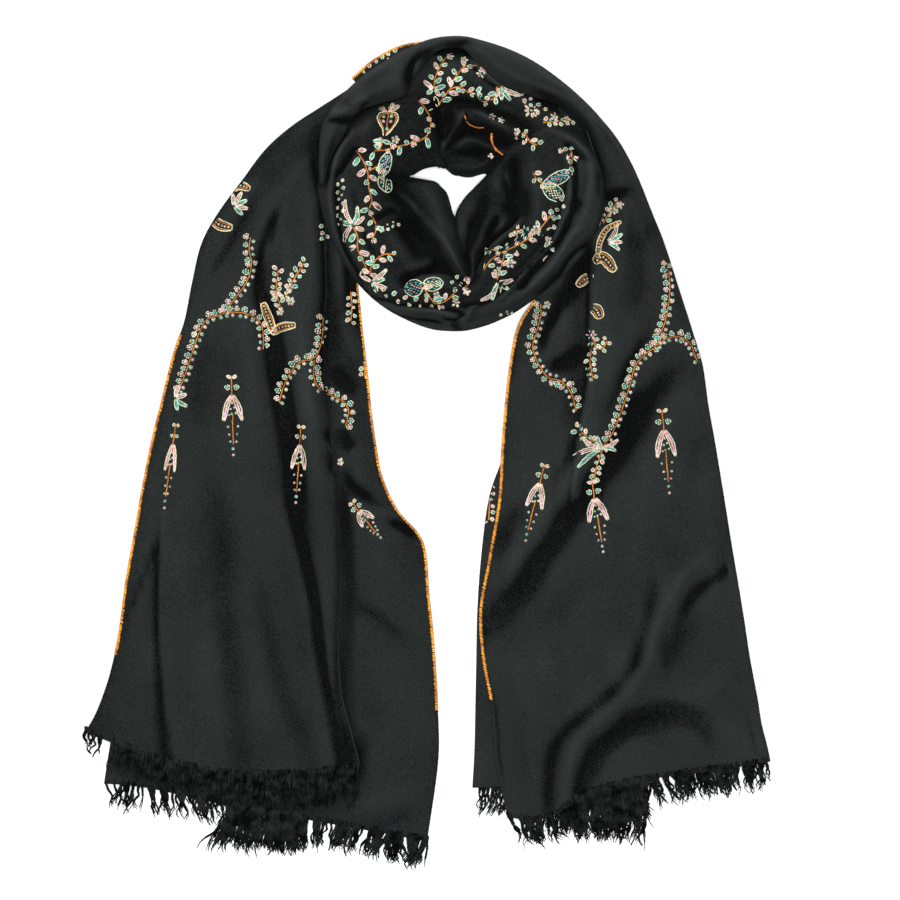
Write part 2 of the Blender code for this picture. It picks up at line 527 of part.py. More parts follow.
def add_fringe(name, spine, drop, strands, least, most, material):
    """A narrow strip along a hem, every other piece of its edge drawn out into a strand."""
    source = random.Random(SEED + strands)
    cells = len(spine) - 1
    chord = (spine[-1] - spine[0]) / np.linalg.norm(spine[-1] - spine[0])
    fall = np.array([chord[1], -chord[0], 0.0])
    fall *= -1 if fall[1] > 0 else 1
    along = np.gradient(spine, axis=0)
    along /= np.linalg.norm(along, axis=1, keepdims=True)
    away = np.stack([along[:, 1], -along[:, 0], np.zeros(len(spine))], axis=1)
    away /= np.linalg.norm(away, axis=1, keepdims=True)
    away *= np.where(away[:, 1:2] > 0, -1, 1)
    spine = spine + away * HEM_GAP
    lift = np.array([0, 0, STRAND / 2])
    strip = away * STRIP
    rings = [spine + lift, spine + strip + lift, spine + strip - lift, spine - lift]
    points = list(np.stack(rings, axis=1).reshape(-1, 3))
    faces = [(0, 1, 2, 3), tuple(4 * cells + k for k in (3, 2, 1, 0))]
    for i in range(cells):
        a, b = 4 * i, 4 * i + 4
        faces += [(a, b, b + 1, a + 1), (a + 2, b + 2, b + 3, a + 3), (a + 3, b + 3, b, a)]
        root = (a + 1, b + 1, b + 2, a + 2)
        if i % 2 == 0:
            faces.append(root)
            continue
        middle = np.mean([points[k] for k in root], axis=0)
        length = source.uniform(least, most) * GRID - STRIP
        sway = SWAY * math.sin(SWAY_WAVE * i) + source.uniform(-SWAY_ODDS, SWAY_ODDS)
        tip = middle + (fall + sway * chord) * length
        elbow = (middle + tip) / 2 + source.uniform(-ELBOW, ELBOW) * chord
        tip[2] = max(middle[2] * drop, TIP_HEIGHT)
        elbow[2] = (middle[2] + tip[2]) / 2
        first = len(points)
        points += [elbow + (points[k] - middle) * TAPER for k in root] + [tip]
        for k in range(4):
            n = (k + 1) % 4
            faces.append((root[k], root[n], first + n, first + k))
            faces.append((first + k, first + n, first + 4))
    return add_object(name, points, faces, material)


def add_material(name, colour, roughness):
    """A plain cloth material."""
    made = bpy.data.materials.new(name)
    made.use_nodes = True
    shader = made.node_tree.nodes["Principled BSDF"]
    shader.inputs["Base Color"].default_value = colour
    shader.inputs["Roughness"].default_value = roughness
    shader.inputs["Metallic"].default_value = 0.0
    return made


def main():
    """Build the stole, each stretch laid on those made before it."""
    for old in list(bpy.data.objects):
        bpy.data.objects.remove(old)
    wool = add_material("wool", CLOTH_COLOUR, 0.85)
    fringe = add_material("fringe", FRINGE_COLOUR, 0.9)
    left_tables = LEFT_STEPS, LEFT_PLAN, LEFT_RISE, LEFT_SAG
    left, left_hem = add_tail("tail_left", left_section, *left_tables, wool)
    right_tables = RIGHT_STEPS, RIGHT_PLAN, RIGHT_RISE, RIGHT_SAG
    right, right_hem = add_tail("tail_right", right_section, *right_tables, wool)
    crescent = add_heap("nape_under", turned_grid(CRESCENT_FOLDS, *CRESCENT_REACH), [left], wool)
    front = add_front([left, right, crescent], wool)
    nape = add_heap("nape_inner", turned_grid(NAPE_FOLDS, *NAPE_REACH), [crescent], wool)
    lower = [left, right, crescent, nape, *front]
    add_heap("nape_over", turned_grid(ARC_FOLDS, *ARC_REACH), lower, wool)
    hems = {"tail_left": (left_hem, LEFT_STEPS), "tail_right": (right_hem, RIGHT_STEPS)}
    for name, tail, first, last, drop, strands, least, most in FRINGES:
        spine = even_run(*hems[tail], first, last, 2 * strands + 2)
        add_fringe(name, spine, drop, strands, least, most, fringe)


main()
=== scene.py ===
"""Looks of a long embroidered wool shawl, looped once round a neck that is not there and laid flat.

The lay plan is drawn on a square grid.  One step of it is ``Plan.STEP`` metres, x runs right and
y runs down, and heights are in millimetres above the floor.  Each stretch of cloth is lofted
through a short table of fold lines, then given its softer folds, painted shade of all its folds
in its colour, its weave, its whip-stitched edge, its fringe and its embroidery.
"""

import bisect
import logging
import math
import random
from dataclasses import dataclass
from enum import Enum

import bpy
import numpy as np
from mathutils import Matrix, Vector
from mathutils.bvhtree import BVHTree


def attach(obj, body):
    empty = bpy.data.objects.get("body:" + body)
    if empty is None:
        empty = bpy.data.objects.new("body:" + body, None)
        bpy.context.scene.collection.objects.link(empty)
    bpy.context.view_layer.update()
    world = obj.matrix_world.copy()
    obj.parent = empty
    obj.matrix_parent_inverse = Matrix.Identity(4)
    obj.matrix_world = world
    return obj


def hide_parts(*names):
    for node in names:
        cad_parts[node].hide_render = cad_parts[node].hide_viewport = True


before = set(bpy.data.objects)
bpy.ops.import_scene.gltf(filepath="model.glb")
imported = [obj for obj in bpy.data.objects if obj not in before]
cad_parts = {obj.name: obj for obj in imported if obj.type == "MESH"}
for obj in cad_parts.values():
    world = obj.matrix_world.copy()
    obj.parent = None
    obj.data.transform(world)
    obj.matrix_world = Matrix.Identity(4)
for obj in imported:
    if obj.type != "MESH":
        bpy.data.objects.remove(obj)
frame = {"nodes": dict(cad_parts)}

LOG = logging.getLogger("shawl")
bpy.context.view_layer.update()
MM = 0.001
Array = np.ndarray
Spot = tuple[float, float]
Place = tuple[float, float, float]
Path = list[Spot] | Array


# ---- The lay plan and the curves drawn on it ----


class Plan:
    """The lay plan's scale and the two places that everything is measured from."""

    CUT_LENGTH = 2.03
    STEPS_ALONG = 2333
    STEP = CUT_LENGTH / STEPS_ALONG
    MIDDLE = (427.82, 454.17)
    LOOP = (455.0, 195.0)

    @classmethod
    def place(cls, points: Array) -> Array:
        """World positions of plan points.

        Args:
            points: x and y in steps and a height in millimetres, in the last axis.

        Returns:
            Positions in metres, in an array of the same shape.
        """
        points = np.asarray(points, float)
        x = (points[..., 0] - cls.MIDDLE[0]) * cls.STEP
        y = (cls.MIDDLE[1] - points[..., 1]) * cls.STEP
        return np.stack([x, y, points[..., 2] * MM], axis=-1)

    @classmethod
    def turned(cls, turn: float, distance: float, height: float) -> Place:
        """Plan point at a direction, in degrees from +x towards +y, and distance from the loop's middle."""
        angle = math.radians(turn)
        return (cls.LOOP[0] + distance * math.cos(angle), cls.LOOP[1] - distance * math.sin(angle), height)


def walk(points: Array) -> Array:
    """Distance along a polyline up to each of its points."""
    return np.concatenate([[0], np.cumsum(np.linalg.norm(np.diff(points, axis=0), axis=1))])


def pick(spots: Array, walked: Array, points: Array) -> Array:
    """Points of a polyline at distances along it."""
    return np.stack([np.interp(spots, walked, points[:, k]) for k in range(points.shape[1])], axis=1)


def unit(vectors: Array) -> Array:
    """Vectors scaled to length 1 along the last axis."""
    return vectors / np.maximum(np.linalg.norm(vectors, axis=-1, keepdims=True), 1e-12)


def pairs(flat: tuple) -> list[Spot]:
    """Pairs of numbers from a flat run of them."""
    return list(zip(flat[::2], flat[1::2]))


def toward(at: Spot, angle: float, distance: float) -> Spot:
    """Plan point at a distance from another, at an angle in degrees from the plan's x."""
    turn = math.radians(angle)
    return (at[0] + distance * math.cos(turn), at[1] + distance * math.sin(turn))


def smooth_at(points: Array, spots: Array) -> Array:
    """Points of a Catmull-Rom curve.

    Args:
        points: the points that the curve goes through, along the first axis.
        spots: places on the curve; spot k is the point numbered k.

    Returns:
        One point for each spot.
    """
    points = np.asarray(points, float)
    padded = np.concatenate([2 * points[:1] - points[1:2], points, 2 * points[-1:] - points[-2:-1]])
    whole = np.clip(np.asarray(spots).astype(int), 0, len(points) - 2)
    part = (np.asarray(spots) - whole).reshape((-1,) + (1,) * (points.ndim - 1))
    p0, p1, p2, p3 = (padded[whole + step] for step in range(4))
    bend = 2 * p1 + (p2 - p0) * part + (2 * p0 - 5 * p1 + 4 * p2 - p3) * part**2
    return 0.5 * (bend + (3 * p1 - p0 - 3 * p2 + p3) * part**3)


def curve_of(points: Array, spacing: float) -> Array:
    """A smooth curve through points, resampled at an even spacing.

    Args:
        points: the points, in plan steps or metres.
        spacing: distance wanted from one sample to the next, in the same unit.

    Returns:
        The samples, the first and last point included.
    """
    points = np.asarray(points, float)
    fine = smooth_at(points, np.linspace(0, len(points) - 1, 24 * len(points)))
    return even(fine, max(3, int(round(walk(fine)[-1] / spacing)) + 1))


def bend_through(points: Array, steps: tuple[int, ...]) -> Array:
    """A curve through unevenly spaced points with no overshoot.

    Args:
        points: the points of one section.
        steps: how many pieces each run between two points gets.

    Returns:
        The section's points, one more than the sum of the steps.
    """
    points = np.asarray(points, float)
    runs = np.maximum(np.diff(walk(points))[:, None], 1e-9)
    slopes = np.diff(points, axis=0) / runs
    before, after = slopes[:-1], slopes[1:]
    heavy, light = 2 * runs[1:] + runs[:-1], runs[1:] + 2 * runs[:-1]
    same_way = before * after > 0
    weighed = heavy / np.where(same_way, before, 1) + light / np.where(same_way, after, 1)
    inner = np.where(same_way, (heavy + light) / np.where(same_way, weighed, 1), 0)
    tangents = np.concatenate([slopes[:1], inner, slopes[-1:]])
    made = [points[:1]]
    for i, count in enumerate(steps):
        t = np.linspace(0, 1, count + 1)[1:, None]
        start = (2 * t**3 - 3 * t**2 + 1) * points[i] + (t**3 - 2 * t**2 + t) * runs[i] * tangents[i]
        end = (3 * t**2 - 2 * t**3) * points[i + 1] + (t**3 - t**2) * runs[i] * tangents[i + 1]
        made.append(start + end)
    return np.concatenate(made)


def blur(values: Array, reach: int) -> Array:
    """Box average of a grid along both axes, done twice.

    Args:
        values: the grid.
        reach: how many places on each side count.

    Returns:
        The averages.
    """
    for axis in (0, 1, 0, 1):
        room = [(0, 0), (0, 0)]
        room[axis] = (reach + 1, reach)
        total = np.cumsum(np.pad(values, room, mode="edge"), axis=axis)
        count = values.shape[axis]
        first, last = np.arange(count), np.arange(count) + 2 * reach + 1
        values = (np.take(total, last, axis) - np.take(total, first, axis)) / (2 * reach + 1)
    return values


def even(points: Array, count: int) -> Array:
    """A polyline resampled to a number of evenly spaced points."""
    walked = walk(points)
    return pick(np.linspace(0, walked[-1], count), walked, points)


def ease(values: Array) -> Array:
    """Smooth step from 0 to 1 over values from 0 to 1."""
    values = np.clip(values, 0.0, 1.0)
    return values * values * (3 - 2 * values)


# ---- Drawn folds ----


@dataclass(frozen=True)
class Crease:
    """One fold line on the lay plan.

    Attributes:
        rise: how far the cloth rises along it, in millimetres, below 0 for a trough.
        width: how soft the fold is, in steps.
        path: the line's plan points.
        reach: for the edge of an upper fold, which lies on the path's left as y runs down, how far
            the fold stays up, in steps; 0 for a plain fold.
    """

    rise: float
    width: float
    path: list[Spot]
    reach: float = 0.0

    FADE = 7.0
    SPACING = 2.0

    def lift(self, x: Array, y: Array) -> Array:
        """Height that the fold adds.

        Args:
            x: the plan points' x.
            y: their y.

        Returns:
            The height at each point, in millimetres.
        """
        line = curve_of(self.path, self.SPACING)
        room = 4 * self.width + 3 * self.reach
        near = (x > line[:, 0].min() - room) & (x < line[:, 0].max() + room)
        near &= (y > line[:, 1].min() - room) & (y < line[:, 1].max() + room)
        total = np.zeros_like(x)
        if not near.any():
            return total
        px, py = x[near], y[near]
        gaps_x = px[:, None] - line[None, :, 0]
        gaps_y = py[:, None] - line[None, :, 1]
        square = gaps_x**2 + gaps_y**2
        closest = square.argmin(axis=1)
        spots = np.arange(len(px))
        away = np.sqrt(square[spots, closest])
        here = unit(np.gradient(line, axis=0))[closest]
        side = here[:, 0] * gaps_y[spots, closest] - here[:, 1] * gaps_x[spots, closest]
        far = np.minimum(closest, len(line) - 1 - closest) * self.SPACING
        fade = ease(far / min(self.FADE * self.width, 0.8 * len(line)))
        if self.reach:
            signed = np.where(side < 0, away, -away)
            shape = np.exp(-((np.maximum(signed, 0) / self.reach) ** 2))
            shape *= ease(0.5 + signed / (2 * self.width))
            shape -= 0.35 * np.exp(-(((signed + 1.3 * self.width) / self.width) ** 2))
        else:
            shape = np.exp(-((away / self.width) ** 2))
        total[near] = self.rise * shape * fade
        return total


def creases(rows: tuple, steps: tuple = ()) -> list[Crease]:
    """Fold lines from a table of plain folds and one of upper folds' edges."""
    made = [Crease(rise, width, pairs(flat)) for rise, width, *flat in rows]
    return made + [Crease(rise, width, pairs(flat), reach) for rise, width, reach, *flat in steps]


# ---- Finishes ----

Colour = tuple[float, float, float, float]
Tree = bpy.types.NodeTree
Socket = bpy.types.NodeSocket
Material = bpy.types.Material
Feed = Socket | float


def tone(red: int, green: int, blue: int) -> Colour:
    """Linear colour of a swatch given in display values from 0 to 255."""

    def linear(value: int) -> float:
        """Linear light of one display value."""
        share = value / 255
        return share / 12.92 if share <= 0.04045 else ((share + 0.055) / 1.055) ** 2.4

    return (linear(red), linear(green), linear(blue), 1.0)


class Effect:
    """A shader node group with named inputs and outputs, built once and shared by the finishes."""

    FLOAT = "NodeSocketFloat"
    VECTOR = "NodeSocketVector"

    def __init__(self, name: str, inputs: tuple, outputs: tuple) -> None:
        """Make an empty group.

        Args:
            name: the group's name.
            inputs: name, socket type and default value of each input.
            outputs: name and socket type of each output.
        """
        self.tree = bpy.data.node_groups.new(name, "ShaderNodeTree")
        for label, kind, value in inputs:
            socket = self.tree.interface.new_socket(label, in_out="INPUT", socket_type=kind)
            if value is not None:
                socket.default_value = value
        for label, kind in outputs:
            self.tree.interface.new_socket(label, in_out="OUTPUT", socket_type=kind)
        self.source = self.tree.nodes.new("NodeGroupInput")
        self.sink = self.tree.nodes.new("NodeGroupOutput")

    def calc(self, operation: str, first: Feed, second: Feed = 0.5) -> Socket:
        """Result of a sum on two sockets or values."""
        return add_node(self.tree, "ShaderNodeMath", {0: first, 1: second}, operation=operation).outputs[0]

    def noise(self, place: Socket, scale: Feed, detail: float) -> Socket:
        """Noise at a place."""
        links = {"Vector": place, "Scale": scale, "Detail": detail}
        return add_node(self.tree, "ShaderNodeTexNoise", links).outputs[0]

    def finish(self, *results: Socket) -> Tree:
        """Join the results to the group's outputs and hand the group over."""
        for result, socket in zip(results, self.sink.inputs):
            self.tree.links.new(result, socket)
        return self.tree


def add_node(tree: Tree, kind: str, links: dict | None = None, **settings: object) -> bpy.types.Node:
    """Add a node to a tree.

    Args:
        tree: a material's tree or a group's.
        kind: the node's type.
        links: for each input, by name or number, the socket that feeds it or its value.
        settings: attributes of the node.

    Returns:
        The node.
    """
    made = tree.nodes.new(kind)
    for name, value in settings.items():
        setattr(made, name, value)
    for name, value in (links or {}).items():
        if isinstance(value, Socket):
            tree.links.new(value, made.inputs[name])
        else:
            made.inputs[name].default_value = value
    return made


def build_twill() -> Tree:
    """Group: the diagonal rib of a twill with its threads' unevenness, from a place on the cut cloth."""
    effect = Effect(
        "twill",
        (("Place", Effect.VECTOR, None), ("Rib", Effect.FLOAT, 0.0013), ("Slub", Effect.FLOAT, 0.35)),
        (("Height", Effect.FLOAT), ("Slubs", Effect.FLOAT)),
    )
    place, rib, slub = effect.source.outputs[:3]
    parts = add_node(effect.tree, "ShaderNodeSeparateXYZ", {0: place})
    slant = effect.calc("ADD", parts.outputs[0], parts.outputs[1])
    wave = effect.calc("SINE", effect.calc("MULTIPLY", slant, effect.calc("DIVIDE", math.pi * 2, rib)))
    threads = []
    for stretch in ((560.0, 40.0, 1.0), (40.0, 560.0, 1.0)):
        drawn = add_node(effect.tree, "ShaderNodeVectorMath", {0: place, 1: stretch}, operation="MULTIPLY")
        threads.append(effect.noise(drawn.outputs[0], 1.0, 2.0))
    slubs = effect.calc("ADD", *threads)
    height = effect.calc("ADD", effect.calc("MULTIPLY", wave), effect.calc("MULTIPLY", slubs, slub))
    return effect.finish(height, effect.calc("MULTIPLY", slubs))


def build_noises(name: str, broad: tuple, fine: tuple) -> Tree:
    """Group: two noises from a place in metres.

    Args:
        name: the group's name.
        broad: the first noise's input, its scale, its detail and the output's name.
        fine: the same for the second.

    Returns:
        The group.
    """
    inputs = [("Place", Effect.VECTOR, None)]
    inputs += [(label, Effect.FLOAT, scale) for label, scale, _, _ in (broad, fine)]
    effect = Effect(name, inputs, tuple((result, Effect.FLOAT) for _, _, _, result in (broad, fine)))
    place, first, second = effect.source.outputs[:3]
    return effect.finish(effect.noise(place, first, broad[2]), effect.noise(place, second, fine[2]))


def start_material(name: str) -> tuple[Material, Tree]:
    """A new material and its tree."""
    made = bpy.data.materials.new(name)
    made.use_nodes = True
    return made, made.node_tree


def dress(tree: Tree, share: Socket, tones: tuple, bump: dict, levels: dict) -> None:
    """Give a material's shader its colour, relief and levels.

    Args:
        tree: the material's tree.
        share: how far the colour goes from the first tone to the second.
        tones: two colours.
        bump: the relief's inputs.
        levels: the shader's other inputs and their values.
    """
    shader = tree.nodes["Principled BSDF"]
    colour = add_node(tree, "ShaderNodeMix", data_type="RGBA")
    tree.links.new(share, colour.inputs["Factor"])
    colour.inputs[6].default_value, colour.inputs[7].default_value = tones
    tree.links.new(colour.outputs[2], shader.inputs["Base Color"])
    tree.links.new(add_node(tree, "ShaderNodeBump", bump).outputs[0], shader.inputs["Normal"])
    for name, level in levels.items():
        shader.inputs[name].default_value = level


@dataclass(frozen=True)
class Effects:
    """The shared node groups."""

    twill: Tree
    nap: Tree
    twist: Tree


@dataclass(frozen=True)
class WoolFinish:
    """Fine brushed wool: dark, matt, with a soft pale sheen at grazing angles.

    Attributes:
        name: the material's name.
        deep: colour deep in the folds' hollows, where their painted shade is darkest, and in dark patches at
            random.
        pale: colour on the folds' crests, where their painted highlight is strongest, and in pale patches at
            random.
        roughness: of the threads.
        sheen: weight of the fibres' glow.
        relief: depth of the weave, in metres.
        grain: how much the short fibres mottle the colour.
    """

    name: str
    deep: Colour
    pale: Colour
    roughness: float = 0.9
    sheen: float = 0.012
    relief: float = 0.00012
    grain: float = 2.2

    def material(self, effects: Effects) -> Material:
        """The finished material.

        Args:
            effects: the shared node groups.

        Returns:
            A new material.
        """
        made, tree = start_material(self.name)
        cut = add_node(tree, "ShaderNodeUVMap", uv_map=ShellMesh.CUT_MAP)
        space = add_node(tree, "ShaderNodeTexCoord")
        twill = add_node(tree, "ShaderNodeGroup", node_tree=effects.twill)
        nap = add_node(tree, "ShaderNodeGroup", node_tree=effects.nap)
        tree.links.new(cut.outputs[0], twill.inputs["Place"])
        tree.links.new(space.outputs["Object"], nap.inputs["Place"])
        # The fold attribute: painted shade of the folds, darker in hollows and paler on crests.
        fold = add_node(tree, "ShaderNodeAttribute", attribute_name=ShellMesh.PAINTED_SHADE_MAP)
        broad = {0: twill.outputs["Slubs"], 1: 0.5, 2: nap.outputs["Patches"]}
        blend = add_node(tree, "ShaderNodeMath", broad, operation="MULTIPLY_ADD")
        fine = {0: nap.outputs["Fibres"], 1: self.grain, 2: blend.outputs[0]}
        grainy = add_node(tree, "ShaderNodeMath", fine, operation="MULTIPLY_ADD")
        middle = 0.75 + self.grain / 2
        limits = {"From Min": middle - 0.25, "From Max": middle + 0.25, "To Min": -0.14, "To Max": 0.14}
        uneven = add_node(tree, "ShaderNodeMapRange", {"Value": grainy.outputs[0], **limits}, clamp=False)
        # The colour's share is the painted shade from the fold attribute plus random mottling.
        both = {0: fold.outputs["Fac"], 1: uneven.outputs[0]}
        share = add_node(tree, "ShaderNodeMath", both, operation="ADD", use_clamp=True)
        both = {0: twill.outputs["Height"], 1: nap.outputs["Fibres"]}
        height = add_node(tree, "ShaderNodeMath", both, operation="ADD")
        bump = {"Height": height.outputs[0], "Strength": 0.8, "Distance": self.relief}
        levels = {"Roughness": self.roughness, "Specular IOR Level": 0.06, "Sheen Weight": self.sheen}
        levels.update({"Sheen Roughness": 0.45, "Sheen Tint": (0.8, 0.9, 0.9, 1.0)})
        dress(tree, share.outputs[0], (self.deep, self.pale), bump, levels)
        return made


@dataclass(frozen=True)
class ThreadFinish:
    """Embroidery and edging thread: lustrous, in one colour that varies a little along it.

    Attributes:
        name: the material's name.
        deep: the darker end of the colour's random variation along the thread.
        pale: its paler end.
        roughness: of the thread.
        gloss: strength of its highlights.
        sheen: weight of its fibres' glow.
    """

    name: str
    deep: Colour
    pale: Colour
    roughness: float = 0.5
    gloss: float = 0.3
    sheen: float = 0.1

    def material(self, effects: Effects) -> Material:
        """The finished material.

        Args:
            effects: the shared node groups.

        Returns:
            A new material.
        """
        made, tree = start_material(self.name)
        space = add_node(tree, "ShaderNodeTexCoord")
        twist = add_node(tree, "ShaderNodeGroup", node_tree=effects.twist)
        tree.links.new(space.outputs["Object"], twist.inputs["Place"])
        limits = {"Value": twist.outputs["Shades"], "From Min": 0.35, "From Max": 0.65}
        share = add_node(tree, "ShaderNodeMapRange", limits)
        bump = {"Height": twist.outputs["Height"], "Strength": 0.5, "Distance": 0.0001}
        levels = {"Roughness": self.roughness, "Specular IOR Level": self.gloss, "Sheen Weight": self.sheen}
        dress(tree, share.outputs[0], (self.deep, self.pale), bump, levels)
        return made


# ---- Cloth ----


class ShellMesh:
    """Makes mesh objects from arrays."""

    CUT_MAP = "cut"
    # The fold attribute carries painted shade into the wool's colour: darker in the folds' hollows, paler as
    # a painted highlight on their crests.
    PAINTED_SHADE_MAP = "fold"

    @staticmethod
    def quads(rows: int, columns: int) -> Array:
        """Faces of a closed shell between an upper grid and a lower grid, one after the other.

        Args:
            rows: rows of each grid.
            columns: columns of each grid.

        Returns:
            Each face's four corner numbers.
        """
        ids = np.arange(rows * columns).reshape(rows, columns)
        size = rows * columns
        upper = np.stack([ids[:-1, :-1], ids[1:, :-1], ids[1:, 1:], ids[:-1, 1:]], axis=-1).reshape(-1, 4)
        edges = [
            (ids[0, :-1], ids[0, 1:]),
            (ids[-1, 1:], ids[-1, :-1]),
            (ids[1:, 0], ids[:-1, 0]),
            (ids[:-1, -1], ids[1:, -1]),
        ]
        rims = [np.stack([here, there, there + size, here + size], axis=-1) for here, there in edges]
        return np.concatenate([upper, upper[:, ::-1] + size, *rims])

    @classmethod
    def add(
        cls, name: str, points: Array, faces: Array, material: Material, cut: Array | None = None
    ) -> bpy.types.Object:
        """Make a smooth mesh object.

        Args:
            name: the piece's name.
            points: positions in metres.
            faces: corner numbers, the same count for each face.
            material: its finish.
            cut: each point's place on the cut cloth, in metres.

        Returns:
            The object.
        """
        mesh = bpy.data.meshes.new(name)
        corners = faces.shape[1]
        mesh.vertices.add(len(points))
        mesh.vertices.foreach_set("co", np.asarray(points, np.float32).ravel())
        mesh.loops.add(faces.size)
        mesh.loops.foreach_set("vertex_index", faces.ravel().astype(np.int32))
        mesh.polygons.add(len(faces))
        mesh.polygons.foreach_set("loop_start", np.arange(0, faces.size, corners, dtype=np.int32))
        mesh.update(calc_edges=True)
        mesh.shade_smooth()
        if cut is not None:
            layer = mesh.uv_layers.new(name=cls.CUT_MAP)
            layer.data.foreach_set("uv", cut[faces.ravel()].astype(np.float32).ravel())
        mesh.materials.append(material)
        made = bpy.data.objects.new(name, mesh)
        bpy.context.scene.collection.objects.link(made)
        return made


@dataclass
class Sheet:
    """One stretch of cloth: a grid of plan points with heights, rows along it and columns across.

    Attributes:
        name: the piece's name.
        grid: the middle of the cloth, x and y in steps and height in millimetres.
        thickness: of the cloth, in millimetres.
        crisp: height of a narrow fold whose painted shade turns the cloth fully dark, or fully pale as a
            painted highlight, in millimetres.
        inner: how much painted shade darkens the cloth towards the loop's middle.
        gain: how much painted shade or painted highlight a millimetre of drawn fold adds to the cloth's
            colour.
        base: where plain cloth's colour stands from deep to pale, before its painted shade.
    """

    name: str
    grid: Array
    thickness: float = 0.9
    crisp: float = 9.0
    inner: float = 0.0
    gain: float = 0.07
    base: float = 0.5

    BROAD = 18.0
    RISE = 0.42
    RING = (92.0, 118.0)

    def __post_init__(self) -> None:
        """Start with none of the drawn folds' painted shade."""
        self.drawn = np.zeros(self.grid.shape[:2])

    def fold(self, lines: list[Crease], columns: slice = slice(None), flat: bool = False) -> None:
        """Add drawn folds to some of the columns with their painted shade, or only their painted shade if
        they are flat.
        """
        part = self.grid[:, columns]
        x, y = part[..., 0].ravel(), part[..., 1].ravel()
        for line in lines:
            lift = line.lift(x, y).reshape(part.shape[:2])
            part[..., 2] += lift * (not flat)
            self.drawn[:, columns] += lift

    def shade(self) -> Array:
        """Painted shade of each point, from how it stands among the folds round it: 0 darkest, deep in a
        hollow, up to 1 palest, a painted highlight on a crest.
        """
        heights = self.grid[..., 2]
        # Painted shade: darker where the cloth lies lower than the cloth round it and paler, a weaker painted
        # highlight scaled by RISE, where it lies higher.  The drawn folds add their painted shade through
        # gain, and inner darkens the cloth towards the loop's middle, inside the two RING distances.
        total = (heights - blur(heights, 3)) / self.crisp + (heights - blur(heights, 11)) / self.BROAD
        total += self.gain * self.drawn
        total *= np.where(total > 0, self.RISE, 1)
        away = np.hypot(self.grid[..., 0] - Plan.LOOP[0], self.grid[..., 1] - Plan.LOOP[1])
        total -= self.inner * ease((self.RING[1] - away) / (self.RING[1] - self.RING[0]))
        return np.clip(self.base + total, 0, 1)

    def clear(self, least: Array | float, columns: slice = slice(None)) -> None:
        """Keep some of the columns above a height."""
        self.grid[:, columns, 2] = np.maximum(self.grid[:, columns, 2], least)

    def size(self) -> tuple[float, float]:
        """Mean width across and mean length along the stretch, in metres."""
        world = Plan.place(self.grid)
        across = np.linalg.norm(np.diff(world, axis=1), axis=2).sum(axis=1).mean()
        area = self.area()
        return float(across), float(area / across)

    def area(self) -> float:
        """Area of one side, in square metres."""
        world = Plan.place(self.grid)
        first = world[1:, 1:] - world[:-1, :-1]
        second = world[1:, :-1] - world[:-1, 1:]
        return float(np.linalg.norm(np.cross(first, second), axis=2).sum() / 2)

    def build(self, material: Material) -> bpy.types.Object:
        """Give the grid its thickness and make the piece.

        Args:
            material: its finish.

        Returns:
            The object.
        """
        world = Plan.place(self.grid)
        normal = unit(np.cross(np.gradient(world, axis=1), -np.gradient(world, axis=0)))
        lift = normal * self.thickness * MM / 2
        points = np.concatenate([(world + lift).reshape(-1, 3), (world - lift).reshape(-1, 3)])
        u = np.cumsum(np.linalg.norm(np.diff(world, axis=1, prepend=world[:, :1]), axis=2), axis=1)
        v = np.cumsum(np.linalg.norm(np.diff(world, axis=0, prepend=world[:1]), axis=2), axis=0)
        cut = np.stack([u, v], axis=-1).reshape(-1, 2)
        faces = ShellMesh.quads(*self.grid.shape[:2])
        made = ShellMesh.add(self.name, points, faces, material, np.concatenate([cut, cut]))
        # The painted shade goes to the colour through the fold attribute, the same on both sides.
        shade = self.shade().ravel().astype(np.float32)
        layer = made.data.attributes.new(ShellMesh.PAINTED_SHADE_MAP, "FLOAT", "POINT")
        layer.data.foreach_set("value", np.concatenate([shade, shade]))
        return made


def loft(sections: list, counts: tuple[int, ...], rows: int, spots: Array | None = None) -> Array:
    """A grid through sections.

    Args:
        sections: each section's fold points, in plan steps and millimetres.
        counts: pieces in each run between two fold points.
        rows: how many rows the grid gets.
        spots: the rows' places among the sections, even ones if it is left out.

    Returns:
        The grid.
    """
    wide = np.stack([bend_through(section, counts) for section in sections])
    return smooth_at(wide, np.linspace(0, len(sections) - 1, rows) if spots is None else spots)


# ---- Left tail ----

